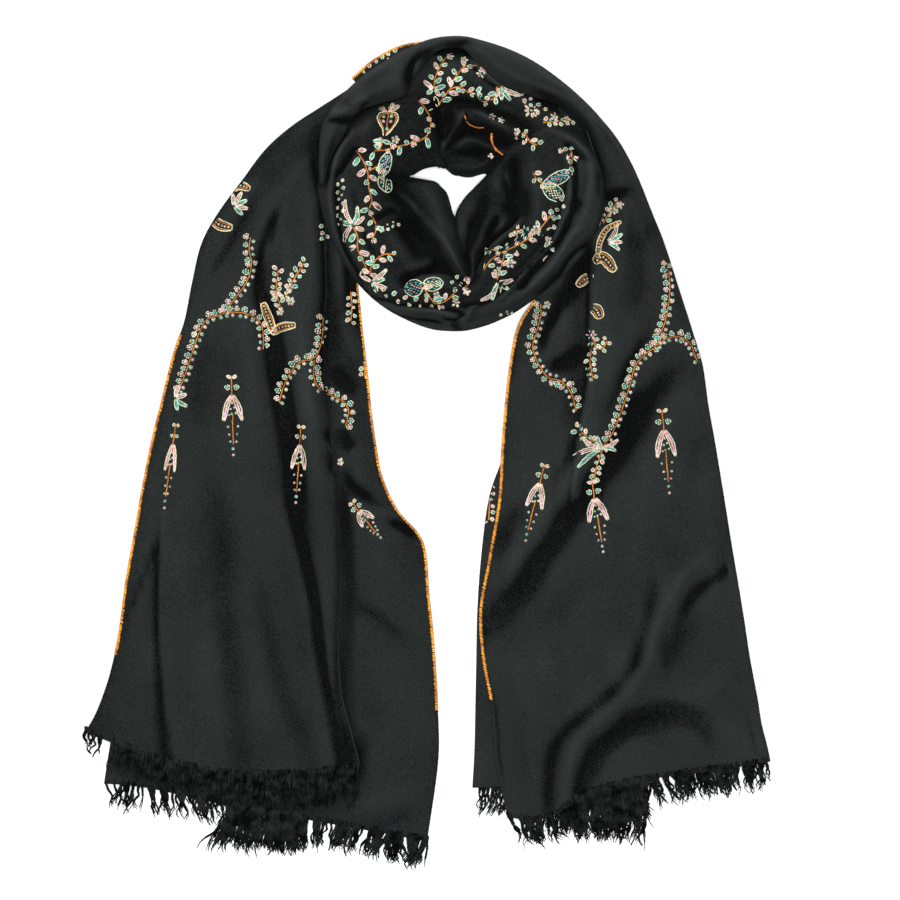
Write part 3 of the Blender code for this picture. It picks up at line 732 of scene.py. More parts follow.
# A row for each station from under the loop down to the hem.  The top layer runs from left to
# fold, the middle one from fold back to under, the lowest from under to right.
LEFT_PLAN = (
    # y_left left step dip ridge valley mid fold y_fold crest right y_right under y_under
    (88, 347, 348.5, 350, 351, 352, 354, 358, 132, 364, 372, 170, 343, 100),
    (104, 322, 325, 328, 330, 332, 335, 340, 160, 350, 362, 205, 321, 116),
    (124, 291, 296, 303, 310, 316, 322, 329, 198, 343, 357, 240, 294, 136),
    (148, 264, 272, 281, 289, 299, 310, 325, 232, 342, 357, 272, 272, 160),
    (180, 240, 250, 261, 280, 297, 312, 325, 258, 343, 358, 290, 252, 193),
    (213, 216, 228, 243, 262, 284, 309, 326, 288, 344, 360, 308, 230, 224),
    (243, 200, 213, 229, 243, 258, 301, 324, 314, 344, 362, 330, 214, 252),
    (280, 191, 205, 220, 240, 264, 302, 323, 345, 345, 365, 355, 205, 288),
    (320, 183, 197, 213, 240, 272, 304, 323, 375, 347, 368, 382, 197, 328),
    (352, 172, 187, 207, 240, 279, 307, 325, 405, 350, 371, 412, 187, 361),
    (400, 160, 174, 203, 245, 285, 311, 331, 438, 354, 376, 448, 175, 408),
    (440, 150, 165, 203, 250, 290, 315, 334, 470, 358, 382, 478, 166, 448),
    (490, 140, 158, 206, 256, 297, 319, 337, 510, 366, 397, 510, 157, 499),
    (525, 134, 157, 209, 260, 302, 322, 338, 540, 376, 423, 543, 150, 535),
    (580, 124, 155, 212, 264, 309, 326, 338, 590, 382, 429, 596, 138, 590),
    (632, 117, 155, 217, 272, 316, 328, 337, 640, 386, 434, 645, 128, 645),
    (675, 108, 158, 224, 282, 324, 333, 341, 695, 390, 438, 715, 117, 700),
    (712, 95, 161, 230, 294, 333, 343, 351, 735, 392, 438, 765, 108, 748),
    (734, 83, 164, 237, 303, 338, 350, 360, 768, 392, 427, 844, 102, 786),
)
LEFT_RISE = (
    # left step dip ridge valley mid fold crest right
    (7, 8, 8, 8.5, 8, 8.5, 7.5, 3, 1.2),
    (6, 8, 8, 9, 8.5, 9, 7.5, 3.5, 1.5),
    (5, 8, 9, 12, 11, 12, 8, 4, 1.8),
    (5, 9, 12, 15, 13, 14, 8, 5, 2),
    (5, 9, 10, 15, 14, 15, 8, 6, 2),
    (5, 9, 9.5, 15, 14, 16, 8, 7, 2),
    (5, 9, 10, 13, 8.5, 16, 8, 7, 2),
    (5, 8, 10, 13, 7.2, 16, 8, 7, 2),
    (5, 8, 9, 12, 7, 15, 8, 7, 2),
    (5, 7.4, 9, 12, 7, 15, 8, 7, 2),
    (5, 7.4, 8.5, 11, 7, 14, 8, 7, 2),
    (5, 7.6, 8.5, 11, 7, 13, 8, 8, 3),
    (5, 8, 8, 11, 7, 12, 8, 9, 4),
    (5, 8, 8, 10, 7, 12, 8, 6, 2),
    (5, 8, 7.6, 10, 7, 11, 8, 4, 1.5),
    (5, 8, 7.6, 9.5, 7, 10, 7.6, 4, 1.5),
    (5, 7.8, 7.6, 9, 7, 9, 7.6, 4, 1.2),
    (5, 7.6, 7.4, 8.5, 7, 8.5, 7.6, 3, 1.2),
    (5, 7.6, 7.2, 8, 7, 8, 7.6, 2, 1.2),
)
LEFT_SAG = {16: 4, 17: 12, 18: 24}

# Half the width of a turned fold, in steps, and the heights of the lower layers, in millimetres.
TURN = 2.0
LOWEST = 0.7
MIDDLE = 3.6
COVER = MIDDLE + 1.4


def on_line(first: tuple[float, float], last: tuple[float, float], x: float) -> float:
    """The y of the line from one plan point to another, at x."""
    return first[1] + (last[1] - first[1]) * (x - first[0]) / (last[0] - first[0])


# Drawn folds: rise in millimetres, below 0 for a trough, softness in steps, then x and y of
# each point.  A step, where an upper fold ends, has the reach of its high side third.
# Each drawn fold also paints shade into the cloth's colour, darker along a trough and paler along a rise.
LEFT_CREASES = (
    (-2.8, 22, 318, 112, 296, 142, 272, 172, 252, 205),
    (-8, 10, 319, 98, 319, 150, 325, 195, 331, 240, 332, 290, 328, 330, 316, 372),
    (-4, 5, 286, 192, 269, 225, 260, 255, 258, 290, 262, 326),
    (-2.5, 4, 278, 206, 273, 230, 270, 254),
    (-2, 6, 264, 176, 245, 213, 223, 254, 200, 290),
    (1.6, 8, 288, 172, 266, 212, 246, 258),
    (2, 8, 294, 215, 288, 260, 292, 300),
    (2.2, 12, 246, 275, 248, 330, 256, 400, 268, 470),
    (-7, 9, 258, 276, 270, 325, 278, 375, 286, 420, 293, 465, 302, 530),
    (-6, 5.5, 285, 470, 294, 520, 304, 560, 313, 600, 318, 640, 324, 680, 331, 720, 348, 810),
    (-4, 6, 341, 470, 343, 545, 344, 590, 341, 640, 338, 690, 342, 730, 348, 765, 350, 820),
    (-4.5, 8, 316, 358, 334, 376, 358, 390),
    (-5, 7, 325, 418, 328, 436, 344, 441, 358, 454),
    (-3, 6, 326, 440, 329, 462, 334, 486),
    (2, 8, 298, 318, 303, 350, 308, 400, 312, 440),
    (-4.2, 3.8, 157, 525, 154, 600, 156, 650, 160, 700, 165, 740, 171, 810),
    (-1.6, 3.6, 158, 536, 140, 582, 123, 622, 110, 665, 94, 706),
    (-1.5, 15, 219, 440, 222, 560, 226, 620, 229, 665, 235, 705, 244, 840),
    (-1.8, 13, 250, 530, 266, 620, 280, 680, 294, 720, 306, 750, 330, 820),
    (1.2, 11.6, 200, 590, 206, 660, 212, 740),
    (1.2, 10, 250, 620, 260, 690, 270, 755),
    (1.2, 13, 184, 420, 182, 500, 180, 590, 184, 690),
    (-1, 13, 205, 300, 198, 370, 192, 440),
    (-6, 9, 350, 690, 351, 740, 348, 780, 342, 830),
    (1.5, 10, 310, 380, 315, 412, 320, 445),
)
LEFT_STEPS = (
    (2, 1.6, 12, 338, 770, 332, 720, 322, 675, 316, 635, 309, 600, 301, 560, 297, 505),
    (1.2, 1.5, 10, 162, 505, 156, 545, 155, 570, 157, 610, 158, 670, 163, 720, 165, 762),
)
LEFT_LOW_CREASES = (
    (2, 6, 335, 205, 338, 260, 340, 312),
    (-6, 9, 350, 225, 352, 285, 356, 345),
    (2, 7, 342, 300, 352, 338, 362, 375),
    (-4.5, 8, 330, 362, 345, 384, 362, 392),
    (-5, 8, 334, 425, 344, 440, 358, 454),
    (-3.5, 14, 350, 325, 352, 400, 364, 475),
    (-3, 10, 338, 476, 366, 500, 398, 520),
    (-4, 6, 338, 462, 352, 484, 366, 496, 380, 506),
    (2, 5, 346, 512, 376, 512, 402, 519),
    (-4.5, 5, 380, 517, 402, 528, 420, 542),
    (-4, 7, 341, 470, 345, 545, 348, 590, 345, 640, 343, 690, 348, 730, 356, 790),
    (-2.2, 9, 332, 600, 366, 611, 392, 630, 422, 660),
    (-7, 8, 362, 728, 357, 755, 352, 780, 338, 806),
    (1, 14, 362, 548, 388, 572, 414, 602),
    (1.2, 8, 330, 816, 372, 806, 422, 788),
    (-1.2, 8, 345, 838, 385, 826, 428, 812),
    (-1, 13, 350, 690, 380, 720, 425, 745),
)
# Painted into the colour alone, with the cloth left in place: a broad painted highlight over the lowest
# layer, then painted shade along the hem where the fringe lies over the cloth.
LEFT_HEM_SHADE = (
    (1.6, 42, 385, 520, 395, 620, 400, 700, 404, 790),
    (-5, 15, 30, 740, 96, 758, 160, 780, 230, 792, 300, 796, 345, 796, 380, 780),
    (-4, 14, 180, 806, 250, 815, 300, 822, 330, 822),
)
# Painted shadow alone, with the cloth left in place: a dark band beside the loop's left side and a softer
# band of painted shade further down the tail.
LEFT_LOOP_SHADE = (
    (-5.2, 18, 300, 120, 316, 160, 330, 205, 337, 255, 338, 305, 334, 350, 330, 400, 340, 450),
    (-3.2, 16, 262, 300, 276, 350, 284, 400, 292, 450, 300, 500, 308, 560, 316, 640, 324, 740),
)


@dataclass
class LeftTail:
    """The tail that comes out from under the loop's left side, folded in three along its length.

    Attributes:
        rows: rows of the fine grid.
        counts: pieces in each run of a section.
    """

    rows: int = 290
    counts: tuple[int, ...] = (6, 12, 16, 16, 11, 8, 3, 3, 7, 7, 3, 3, 7, 7, 7, 6, 12)

    def section(self, plan: tuple, rise: tuple, sag: float) -> list:
        """Middle line of the folded cloth at one station.

        Args:
            plan: the station's row of the plan table.
            rise: its row of heights, in millimetres.
            sag: how far the middle droops, in steps.

        Returns:
            The fold points.
        """
        y_left, left, *_, fold, y_fold, crest, right, y_right, under, y_under = plan
        spread = fold - left

        def top_point(x: float, height: float) -> tuple[float, float, float]:
            """A point of the top layer."""
            share = (x - left) / spread
            return (x, y_left + (y_fold - y_left) * share + sag * math.sin(math.pi * share), height)

        def low_point(x: float, height: float) -> tuple[float, float, float]:
            """A point of the lowest layer."""
            return (x, on_line((under, y_under), (right, y_right), x), height)

        return [
            *(top_point(x, z) for x, z in zip(plan[1:7], rise)),
            top_point(fold - TURN, rise[6]),
            (fold, y_fold, (rise[6] + MIDDLE) / 2),
            (fold - TURN, y_fold, MIDDLE),
            ((fold + under) / 2, (y_fold + y_under) / 2 + sag, MIDDLE),
            (under + TURN, y_under, MIDDLE),
            (under, y_under, (MIDDLE + LOWEST) / 2),
            (under + TURN, y_under, LOWEST),
            low_point((under + fold) / 2, LOWEST),
            low_point(fold - TURN, LOWEST),
            low_point((fold + crest) / 2, (LOWEST + rise[7]) / 2),
            low_point(crest, rise[7]),
            low_point(right, rise[8]),
        ]

    def sheet(self) -> Sheet:
        """The tail's cloth with its folds."""
        sags = [LEFT_SAG.get(i, 0) for i in range(len(LEFT_PLAN))]
        rows = [self.section(*row) for row in zip(LEFT_PLAN, LEFT_RISE, sags)]
        made = Sheet("shawl_left_tail", loft(rows, self.counts, self.rows))
        top = sum(self.counts[:7])
        low = sum(self.counts[:13])
        made.fold(creases(LEFT_CREASES, LEFT_STEPS), slice(0, top))
        made.clear(COVER, slice(0, top - 2))
        made.fold(creases(LEFT_LOW_CREASES), slice(low, None))
        made.clear(LOWEST, slice(None))
        # Painted shade and painted highlight only; the surface stays put.
        made.fold(creases(LEFT_HEM_SHADE), slice(top + 3, None), flat=True)
        made.fold(creases(LEFT_LOOP_SHADE), flat=True)
        return made


# ---- Arc over the nape and right tail ----

# The arc, a row for each direction from the loop's middle, in degrees from +x towards +y.  Each
# fold line has two columns: distance from the middle in steps, height in millimetres.
ARC_FOLDS = (
    # turn, foot, shoulder, crest, roll, lip, drop
    (176, 136, 12, 135, 24, 134, 32, 133, 33, 132, 32, 131, 26),
    (165, 141, 8, 138, 28, 135, 38, 133, 38, 131, 36, 129.5, 28),
    (152, 151, 4, 147, 26, 142, 36, 136, 42, 131, 38, 126, 30),
    (140, 152, 4, 147, 26, 142, 38, 136, 42, 131, 39, 127, 32),
    (128, 152, 4, 146, 28, 138, 42, 128, 46, 121, 41, 116, 31),
    (117, 153, 4, 147, 28, 138, 44, 125, 48, 116, 42, 111, 31),
    (108, 156, 4, 150, 28, 144, 40, 138, 44, 132, 41, 126, 30),
    (98, 160, 3, 156, 26, 152, 40, 149, 46, 146, 42, 143, 31),
    (88, 161, 3, 157, 26, 154, 38, 151, 46, 149, 44, 146, 32),
    (80, 159, 3, 154, 26, 149, 40, 143, 48, 138, 44, 132, 33),
    (70, 157.5, 3, 150, 28, 142, 42, 131, 50, 125, 44, 120, 33),
    (60, 157, 3, 150, 28, 141, 42, 130, 50, 124, 44, 119, 33),
    (50, 157.5, 3, 150, 28, 143, 42, 134, 48, 130, 42, 126, 33),
    (40, 160, 3, 155, 26, 150, 38, 145, 46, 141, 42, 138, 31),
    (30, 165, 3, 160, 22, 156, 32, 151, 42, 147, 38, 143, 28),
    (21, 172, 3, 167, 16, 161, 26, 155, 34, 150, 32, 146, 24),
)

# A row for each station from the loop's right shoulder down to the hem.  The top layer runs from
# left to right, the middle one from right back to under, the lowest from under to end.
RIGHT_PLAN = (
    # y_left left knee low high ridge dip crest pit brow pan right y_right under y_under end y_end
    (145, 591, 593.5, 596, 599, 602, 605, 608, 610, 612.5, 615, 617, 136, 596, 143, 612, 138),
    (175, 602, 605, 608.5, 612, 617, 621, 625, 627, 630, 633, 635.5, 169, 608, 174, 630, 170),
    (206, 604, 608, 612, 617, 626, 632, 638, 641, 645, 649, 652, 209, 612, 206, 645, 208),
    (229, 598, 602, 606, 611, 622, 634, 643, 649, 655, 660, 664.5, 240, 608, 230, 655, 237),
    (252, 570, 580, 591, 596, 620, 642, 654, 660, 666, 670, 674.5, 270, 596, 255, 655, 264),
    (272, 554, 570, 589, 594, 616, 640, 658, 666, 674, 680, 685.5, 305, 585, 275, 655, 295),
    (286, 541, 566, 589, 593, 612, 640, 660, 671, 681, 689, 694.5, 333, 565, 290, 650, 320),
    (300, 534, 562, 588, 593, 609, 630, 658, 674, 686, 697, 704, 365, 548, 303, 640, 348),
    (322, 520, 556, 588, 593, 607, 625, 655, 675, 690, 702, 710, 405, 532, 325, 640, 380),
    (352, 512, 550, 586, 591, 612, 637, 664, 684, 699, 710, 717, 445, 522, 356, 640, 415),
    (400, 506, 545, 577, 583, 598, 615, 655, 684, 704, 718, 725.5, 497, 514, 404, 640, 462),
    (450, 502, 532, 556, 562, 573, 586, 638, 680, 710, 724, 732, 538, 506, 450, 640, 510),
    (500, 499, 518, 534, 540, 549, 559, 612, 660, 711, 726, 739, 580, 490, 497, 640, 550),
    (559, 489, 500, 508, 513, 521, 530, 590, 643, 676, 698, 745.5, 620, 482, 556, 642, 595),
    (612, 480, 485, 490, 494, 499, 505, 575, 632, 650, 668, 751.5, 660, 478, 612, 644, 640),
    (660, 483, 487, 491, 495, 499, 505, 555, 602, 625, 648, 759, 700, 477, 660, 646, 690),
    (705, 491, 495, 499, 503, 508, 514, 535, 562, 600, 628, 763, 725, 476, 712, 648, 735),
    (765, 496, 501, 506, 511, 517, 524, 535, 552, 575, 597, 768, 745, 475, 755, 649, 780),
    (819, 508, 513, 518, 523, 529, 535, 545, 556, 567, 585, 772, 763, 473, 790, 648, 806),
)
RIGHT_RISE = (
    # left knee low high ridge dip crest pit brow pan right
    (22, 27, 30, 32, 33, 32, 30, 26, 20, 12, 5),
    (12, 18, 22, 25, 28, 28, 26, 22, 17, 10, 5),
    (9, 12, 15, 18, 24, 23, 21, 18, 14, 9, 5),
    (8, 9, 10, 14, 22, 18, 18, 16, 13, 9, 5),
    (8, 8, 8, 13, 20, 13, 16, 15, 13, 9, 5),
    (8, 8, 8, 13, 19, 11, 15, 15, 13, 9, 5),
    (7.4, 8, 7.6, 13, 18, 10, 14, 14, 12, 9, 5),
    (6, 9, 7.6, 13, 17, 10, 13, 13.5, 12, 9, 5),
    (5.6, 9, 7.6, 12, 15, 11, 13, 13, 12, 9, 5),
    (5.6, 10, 7.6, 12, 13, 9, 13, 13, 12, 9, 5),
    (5.6, 10, 8, 11, 11.5, 8, 13, 13, 12, 9, 5),
    (5.8, 9.5, 9, 10.5, 10, 7.4, 12.5, 11, 12.5, 9, 5),
    (6.6, 8.5, 9.5, 10.5, 10, 7.4, 12, 9, 13, 9, 5),
    (6.6, 7.4, 8.5, 9.5, 9, 7.4, 11, 7.6, 12, 8, 5),
    (6.6, 7.2, 7.6, 7.6, 7.2, 7.2, 10, 7.6, 11.5, 7.6, 5),
    (6.6, 7, 7, 7, 7, 7, 9.5, 7.4, 11, 7.4, 5),
    (6.6, 7, 7, 7, 7, 7, 8.5, 7.2, 10.5, 7.2, 5),
    (6.6, 7, 7, 7, 7, 7, 8, 7.2, 10, 7.2, 5),
    (6.6, 7, 7, 7, 7, 7, 8, 7.2, 9.5, 7.2, 5),
)
RIGHT_SAG = {17: 0.5, 18: 1.0}
# How far the hem hangs below a straight line from corner to corner, by its share of the width.
RIGHT_DROOP = ((0, 0.1, 0.18, 0.25, 0.31, 0.4, 0.5, 0.6, 0.7), (0, 10, 8, -1, -8, -8, -6.5, -3, 0))


RIGHT_CREASES = (
    (-10, 3.6, 326, 122, 338, 122.5, 348, 121.5, 358, 116, 364, 106),
    (-9, 4.5, 438, 38, 432, 50, 420, 59, 414, 65, 410, 72, 407, 82, 405.5, 102),
    (4, 3.6, 428, 57, 419, 65, 417.5, 76, 417.5, 88, 417, 102),
    (-6, 3.6, 438, 42, 447, 47.5, 457, 47, 467, 46.5, 478, 55),
    (2, 3, 424, 61, 436, 55, 447, 51, 457, 50, 468, 51, 480, 58),
    (2, 10, 470, 42, 500, 56, 524, 72, 548, 88, 572, 104, 594, 128, 607, 155),
    (-2, 4, 505, 66, 530, 80, 556, 92, 580, 112),
    (-8, 6, 516, 84, 545, 97, 570, 112, 588, 134, 597, 160, 599, 190, 597, 224),
    (-5, 7, 598, 192, 610, 195, 624, 192, 636, 186),
    (-2, 4, 360, 92, 380, 80, 398, 68),
    (2.4, 5, 345, 100, 362, 82, 385, 66, 405, 52),
    (2, 4, 320, 128, 320, 150, 322, 182),
    (-3, 4, 340, 131, 333, 147, 327, 165, 325, 184),
    (2, 7, 612, 120, 628, 150, 640, 185),
    (-1.8, 10, 660, 214, 645, 236, 628, 262),
    (3, 12, 664, 286, 642, 310, 620, 350, 606, 390, 600, 415),
    (-3, 6, 656, 322, 637, 352, 622, 378, 612, 405, 603, 432),
    (-4, 7, 592, 232, 586, 262, 582, 292),
    (-1.6, 10, 578, 262, 577, 300, 576, 350, 573, 400, 568, 455),
    (-7, 9, 594, 224, 584, 256, 573, 284, 558, 306, 546, 334),
    (-6, 8, 590, 344, 572, 358, 554, 366, 540, 368),
    (-5, 6, 566, 300, 548, 328, 538, 360),
    (-2.6, 7, 582, 424, 569, 458, 552, 492),
    (1.4, 10, 560, 298, 567, 325, 570, 352),
    (-1.5, 9, 518, 332, 509, 360, 504, 392),
    (1.6, 8, 600, 410, 580, 465, 554, 506, 528, 545, 505, 576, 486, 604),
    (-5, 14, 700, 340, 660, 382, 638, 410, 622, 440, 602, 474, 582, 503, 554, 540, 522, 588, 490, 626, 455,
     665),
    (-2.6, 12, 534, 488, 512, 525, 492, 572),
    (-1.2, 20, 620, 540, 575, 590, 530, 625, 480, 655),
    (-2.6, 15, 715, 336, 684, 368, 658, 410, 636, 448, 612, 486),
    (1.6, 14.5, 690, 330, 672, 400, 650, 470, 640, 540),
    (-1.2, 11.6, 708, 400, 696, 460, 690, 520),
    (-2.8, 8, 660, 560, 648, 625, 637, 662, 617, 690, 592, 711, 566, 735, 551, 768, 547, 850),
    (1.6, 6, 730, 540, 696, 564, 670, 598, 657, 632, 647, 664, 631, 692, 607, 714, 583, 738, 571, 764, 566,
     840),
    (-3.6, 8, 758, 552, 716, 579, 694, 597, 681, 618, 676, 650),
    (-2, 14, 700, 596, 680, 640, 652, 690),
    (-4, 11, 716, 774, 709, 737, 695, 720, 667, 715, 640, 722, 616, 738, 595, 757, 583, 780, 577, 812, 578,
     872),
    (-1.8, 18, 716, 716, 684, 718, 646, 728, 616, 746, 597, 772, 588, 806),
    (-0.8, 10, 618, 500, 622, 545, 614, 590),
    (-2, 4, 493, 690, 496, 740, 501, 795),
    (-1, 12, 545, 636, 560, 660, 566, 690),
    (-1.2, 8, 752, 700, 760, 740, 767, 772),
    (1.4, 11.6, 745, 660, 712, 688, 676, 700),
    (1.6, 13, 660, 735, 620, 750, 600, 780),
)
# Painted shade alone, with the cloth left in place: darker along the hidden layers under the right hem's
# fringe.
RIGHT_HEM_SHADE = ((-6, 26, 500, 806, 560, 804, 610, 800, 650, 800, 700, 800),)
RIGHT_STEPS = (
    (6, 1.6, 9, 327, 120, 338, 119, 348, 117.5, 357, 114, 362, 106, 374, 101),
    (3, 1.6, 12, 593, 225, 591, 265, 590, 320, 590, 365, 584, 410, 577, 450, 571, 505),
)


@dataclass
class RightTail:
    """The cloth that passes over the nape and runs down as the right tail.

    Attributes:
        rows: rows of the fine grid of the arc and the tail's top layer.
        columns: evenly spaced columns of that grid.
        arc_counts: pieces in each run of an arc section, from the inner edge out.
        tail_counts: pieces in each run of a tail section, from left to right.
        under_rows: rows of the hidden layers.
        under_counts: pieces in each run of the hidden layers.
    """

    rows: int = 400
    columns: int = 118
    arc_counts: tuple[int, ...] = (6, 10, 12, 18, 18, 21, 6)
    tail_counts: tuple[int, ...] = (14, 12, 8, 8, 8, 14, 10, 10, 10, 30, 3, 3)
    under_rows: int = 200
    under_counts: tuple[int, ...] = (8, 8, 3, 3, 20, 20)

    JOIN_TURN = 30

    def arc_section(self, turn: float, folds: list) -> list:
        """Middle line of the arc's cloth at one direction, from under its inner edge to its outer foot."""
        points = [Plan.turned(turn, distance, height) for distance, height in reversed(folds)]
        distance, height = folds[-1]
        points.insert(0, Plan.turned(turn, distance + 4, height - 5))
        distance, height = folds[0]
        points.append(Plan.turned(turn, distance - 3, max(1.0, height - 3)))
        return points

    def tail_section(self, plan: tuple, rise: tuple, sag: float) -> list:
        """Middle line of the tail's top layer at one station.

        Args:
            plan: the station's row of the plan table.
            rise: its row of heights, in millimetres.
            sag: how far the layer droops, in steps.

        Returns:
            The fold points.
        """
        y_left, left = plan[:2]
        right, y_right = plan[11:13]

        def top_point(x: float, height: float) -> tuple[float, float, float]:
            """A point of the top layer."""
            share = (x - left) / (right - left)
            droop = sag * float(np.interp(share, *RIGHT_DROOP))
            return (x, y_left + (y_right - y_left) * share + droop, height)

        points = [top_point(x, z) for x, z in zip(plan[1:11], rise)]
        points.append(top_point(right - TURN, max(rise[10] + 2.0, MIDDLE + 2.6)))
        points.append((right, y_right, rise[10]))
        points.append((right - TURN, y_right, MIDDLE))
        return points

    def sheet(self) -> Sheet:
        """The arc and the tail's top layer in one, with their folds."""
        arc = [self.arc_section(turn, pairs(flat)) for turn, *flat in ARC_FOLDS if turn >= self.JOIN_TURN]
        sags = [RIGHT_SAG.get(i, 0) for i in range(len(RIGHT_PLAN))]
        tail = [self.tail_section(*row) for row in zip(RIGHT_PLAN, RIGHT_RISE, sags)]
        wide = [even(bend_through(section, self.arc_counts), self.columns) for section in arc]
        wide += [even(bend_through(section, self.tail_counts), self.columns) for section in tail]
        wide = np.stack(wide)
        middle = wide[:, wide.shape[1] // 2]
        walked = walk(middle)
        spots = np.interp(np.linspace(0, walked[-1], self.rows), walked, np.arange(len(wide)))
        # Its folds' painted shade is stronger than the left tail's, and its plain cloth a little paler.
        made = Sheet("shawl_right_tail", smooth_at(wide, spots), crisp=7.0, base=0.54)
        made.fold(creases(RIGHT_CREASES, RIGHT_STEPS), slice(2, -6))
        made.clear(COVER, slice(0, -5))
        return made

    def under_sheet(self) -> Sheet:
        """The two layers that the tail's top layer lies on."""
        rows = []
        for plan in RIGHT_PLAN[1:]:
            y_left, left = plan[:2]
            right, y_right, under, y_under, end, y_end = plan[11:]
            start = right - 3 * TURN
            rows.append(
                [
                    (start, on_line((under, y_under), (right, y_right), start), MIDDLE),
                    ((right + under) / 2, (y_right + y_under) / 2, MIDDLE),
                    (under + TURN, y_under, MIDDLE),
                    (under, y_under, (MIDDLE + LOWEST) / 2),
                    (under + TURN, y_under, LOWEST),
                    ((under + end) / 2, (y_under + y_end) / 2, LOWEST),
                    (end, y_end, LOWEST),
                ]
            )
        made = Sheet("shawl_right_layers", loft(rows, self.under_counts, self.under_rows)[:, ::-1])
        # Painted shade only, under the fringe; the surface stays put.
        made.fold(creases(RIGHT_HEM_SHADE), flat=True)
        return made


# ---- Loop ----

# The front of the loop, a row for each direction from its middle.
FRONT_FOLDS = (
    # turn, foot, shoulder, groove, crest, crease, brow, lip
    (112, 124, 10, 118, 14, 112, 18, 104, 24, 98, 25, 85, 24, 60, 20),
    (125, 128, 10, 122, 14, 116, 18, 108, 28, 100, 30, 85, 30, 62, 25),
    (140, 138, 10, 131, 14, 125, 20, 116, 30, 104, 32, 85, 31, 65, 27),
    (152, 138, 10, 131, 16, 126, 24, 119, 34, 110, 31, 90, 31, 70, 28),
    (158, 138, 9, 132, 15, 127, 23, 120, 34, 112, 30, 94, 32, 74, 27),
    (164, 138, 8, 132, 14, 128, 22, 121, 34, 114, 30, 97, 33, 78, 29),
    (172, 138, 7, 133, 16, 128, 24, 122, 34, 116, 30, 100, 33, 80, 29),
    (180, 137, 6, 134, 18, 129, 27, 123, 34, 117, 29, 100, 33, 80, 29),
    (195, 132, 6, 129, 18, 126, 26, 123, 31, 120, 27, 102, 31, 78, 28),
    (210, 130, 4, 128, 14, 127, 20, 126, 26, 123, 24, 104, 29, 78, 27),
    (225, 131, 3, 129, 12, 127, 18, 125, 24, 122, 22, 105, 28, 80, 27),
    (238, 132, 3, 129, 14, 126, 20, 123.5, 24, 121, 22, 108, 27, 86, 27),
    (250, 133, 3, 130, 14, 126, 20, 122, 24, 117, 21, 108, 27, 90, 30),
    (260, 135, 3, 132, 14, 126, 20, 119, 26, 114, 22, 106, 28, 92, 31),
    (268, 135, 3, 131, 15, 125, 21, 120, 25, 113, 22, 106, 27, 96, 30),
    (274, 135, 3, 130, 16, 125, 22, 120, 24, 112, 22, 106, 27, 98, 30),
    (279, 134, 3, 129, 17, 124, 23, 119, 25, 112, 22, 106, 28, 98, 30),
    (284, 133, 3, 128, 18, 123, 25, 118, 26, 112, 23, 105, 28, 96, 31),
    (289, 132, 3, 127, 19, 121, 26, 115, 27, 110, 24, 102, 29, 88, 31),
    (297, 131, 3, 126, 20, 119, 28, 113, 28, 107, 25, 99, 30, 80, 30),
    (307, 130, 4, 126, 20, 120, 28, 112, 23, 100, 25, 94, 29, 80, 30),
    (320, 133, 8, 128, 20, 121, 32, 111, 24, 98, 25, 92, 30, 81, 31),
    (335, 141, 8, 134, 26, 122, 34, 111, 26, 100, 27, 94, 32, 84, 32),
    (350, 148, 8, 141, 30, 130, 36, 118, 28, 105, 29, 98, 33, 84, 33),
    (365, 150, 6, 144, 32, 136, 38, 126, 30, 111, 30, 104, 33, 85, 33),
    (376, 148, 6, 144, 30, 137, 38, 128, 32, 114, 30, 106, 32, 85, 31),
    (386, 151, 4, 140, 25, 133, 32, 125, 30, 112, 28, 106, 29, 86, 27),
    (392, 149, 4, 136, 21, 129, 27, 122, 26, 111, 26, 105, 27, 86, 24),
    (398, 146, 3, 130, 18, 125, 22, 118, 22, 110, 22, 104, 22, 86, 20),
)

# The same directions, further in: the hollow behind the lip, then the cloth that falls into the
# loop.  Where the cloth falls freely, its crest and edge are plan points with heights.
FALL_FOLDS = (
    # turn  hollow    fall                drop
    (112, (46, 17), (38, 15), (30, 12)),
    (125, (50, 21), (431, 160, 18), (435, 165.5, 12)),
    (140, (56, 24), (417, 163, 20), (423, 168, 12)),
    (152, (60, 24), (408, 170, 18), (414.5, 173, 12)),
    (158, (62, 20), (404, 174.5, 14), (409, 176, 10)),
    (164, (63, 14), (414, 181.5, 14), (434, 180.5, 7)),
    (172, (61, 14), (424, 185, 21), (441, 186, 7)),
    (180, (55, 14), (428, 193, 25), (446.5, 192, 7)),
    (195, (49, 14), (434, 205, 27), (450, 203, 7)),
    (210, (48, 14), (438, 217, 28), (453, 213, 6)),
    (225, (52, 14), (441, 229, 28), (458.5, 223, 5)),
    (238, (59, 14), (446, 240, 27), (461, 233, 5)),
    (250, (63, 14), (450, 249, 26), (463, 243, 5)),
    (260, (71, 13), (454.5, 259, 24), (465.5, 254, 5)),
    (268, (80, 14), (459, 267.5, 21), (468, 264, 6)),
    (274, (87, 15), (464.5, 276.5, 17), (471, 273.5, 8)),
    (279, (90, 16), (469.5, 281.5, 15), (470, 278, 12)),
    (284, (82, 15), (473, 272.5, 18), (468, 270, 9)),
    (289, (75, 14), (473, 262, 22), (463.5, 260.5, 9)),
    (297, (64, 14), (474, 250, 25), (459.5, 247.5, 9)),
    (307, (65, 14), (478, 240, 27), (457, 236.5, 9)),
    (320, (67, 14), (482, 230, 28), (455.5, 226.5, 8)),
    (335, (70, 14), (487, 218, 28), (455.5, 216.5, 7)),
    (350, (67, 13), (490, 205, 28), (458.5, 207, 7)),
    (365, (61, 12), (493, 193, 26), (465, 196.5, 7)),
    (376, (60, 11), (497, 183, 22), (474, 187, 7)),
    (386, (63, 10), (499, 173.5, 16), (486, 175, 6)),
    (392, (66, 12), (501, 166, 12), (488.5, 171.5, 6)),
    (398, (68, 14), (57, 10), (44, 5)),
)

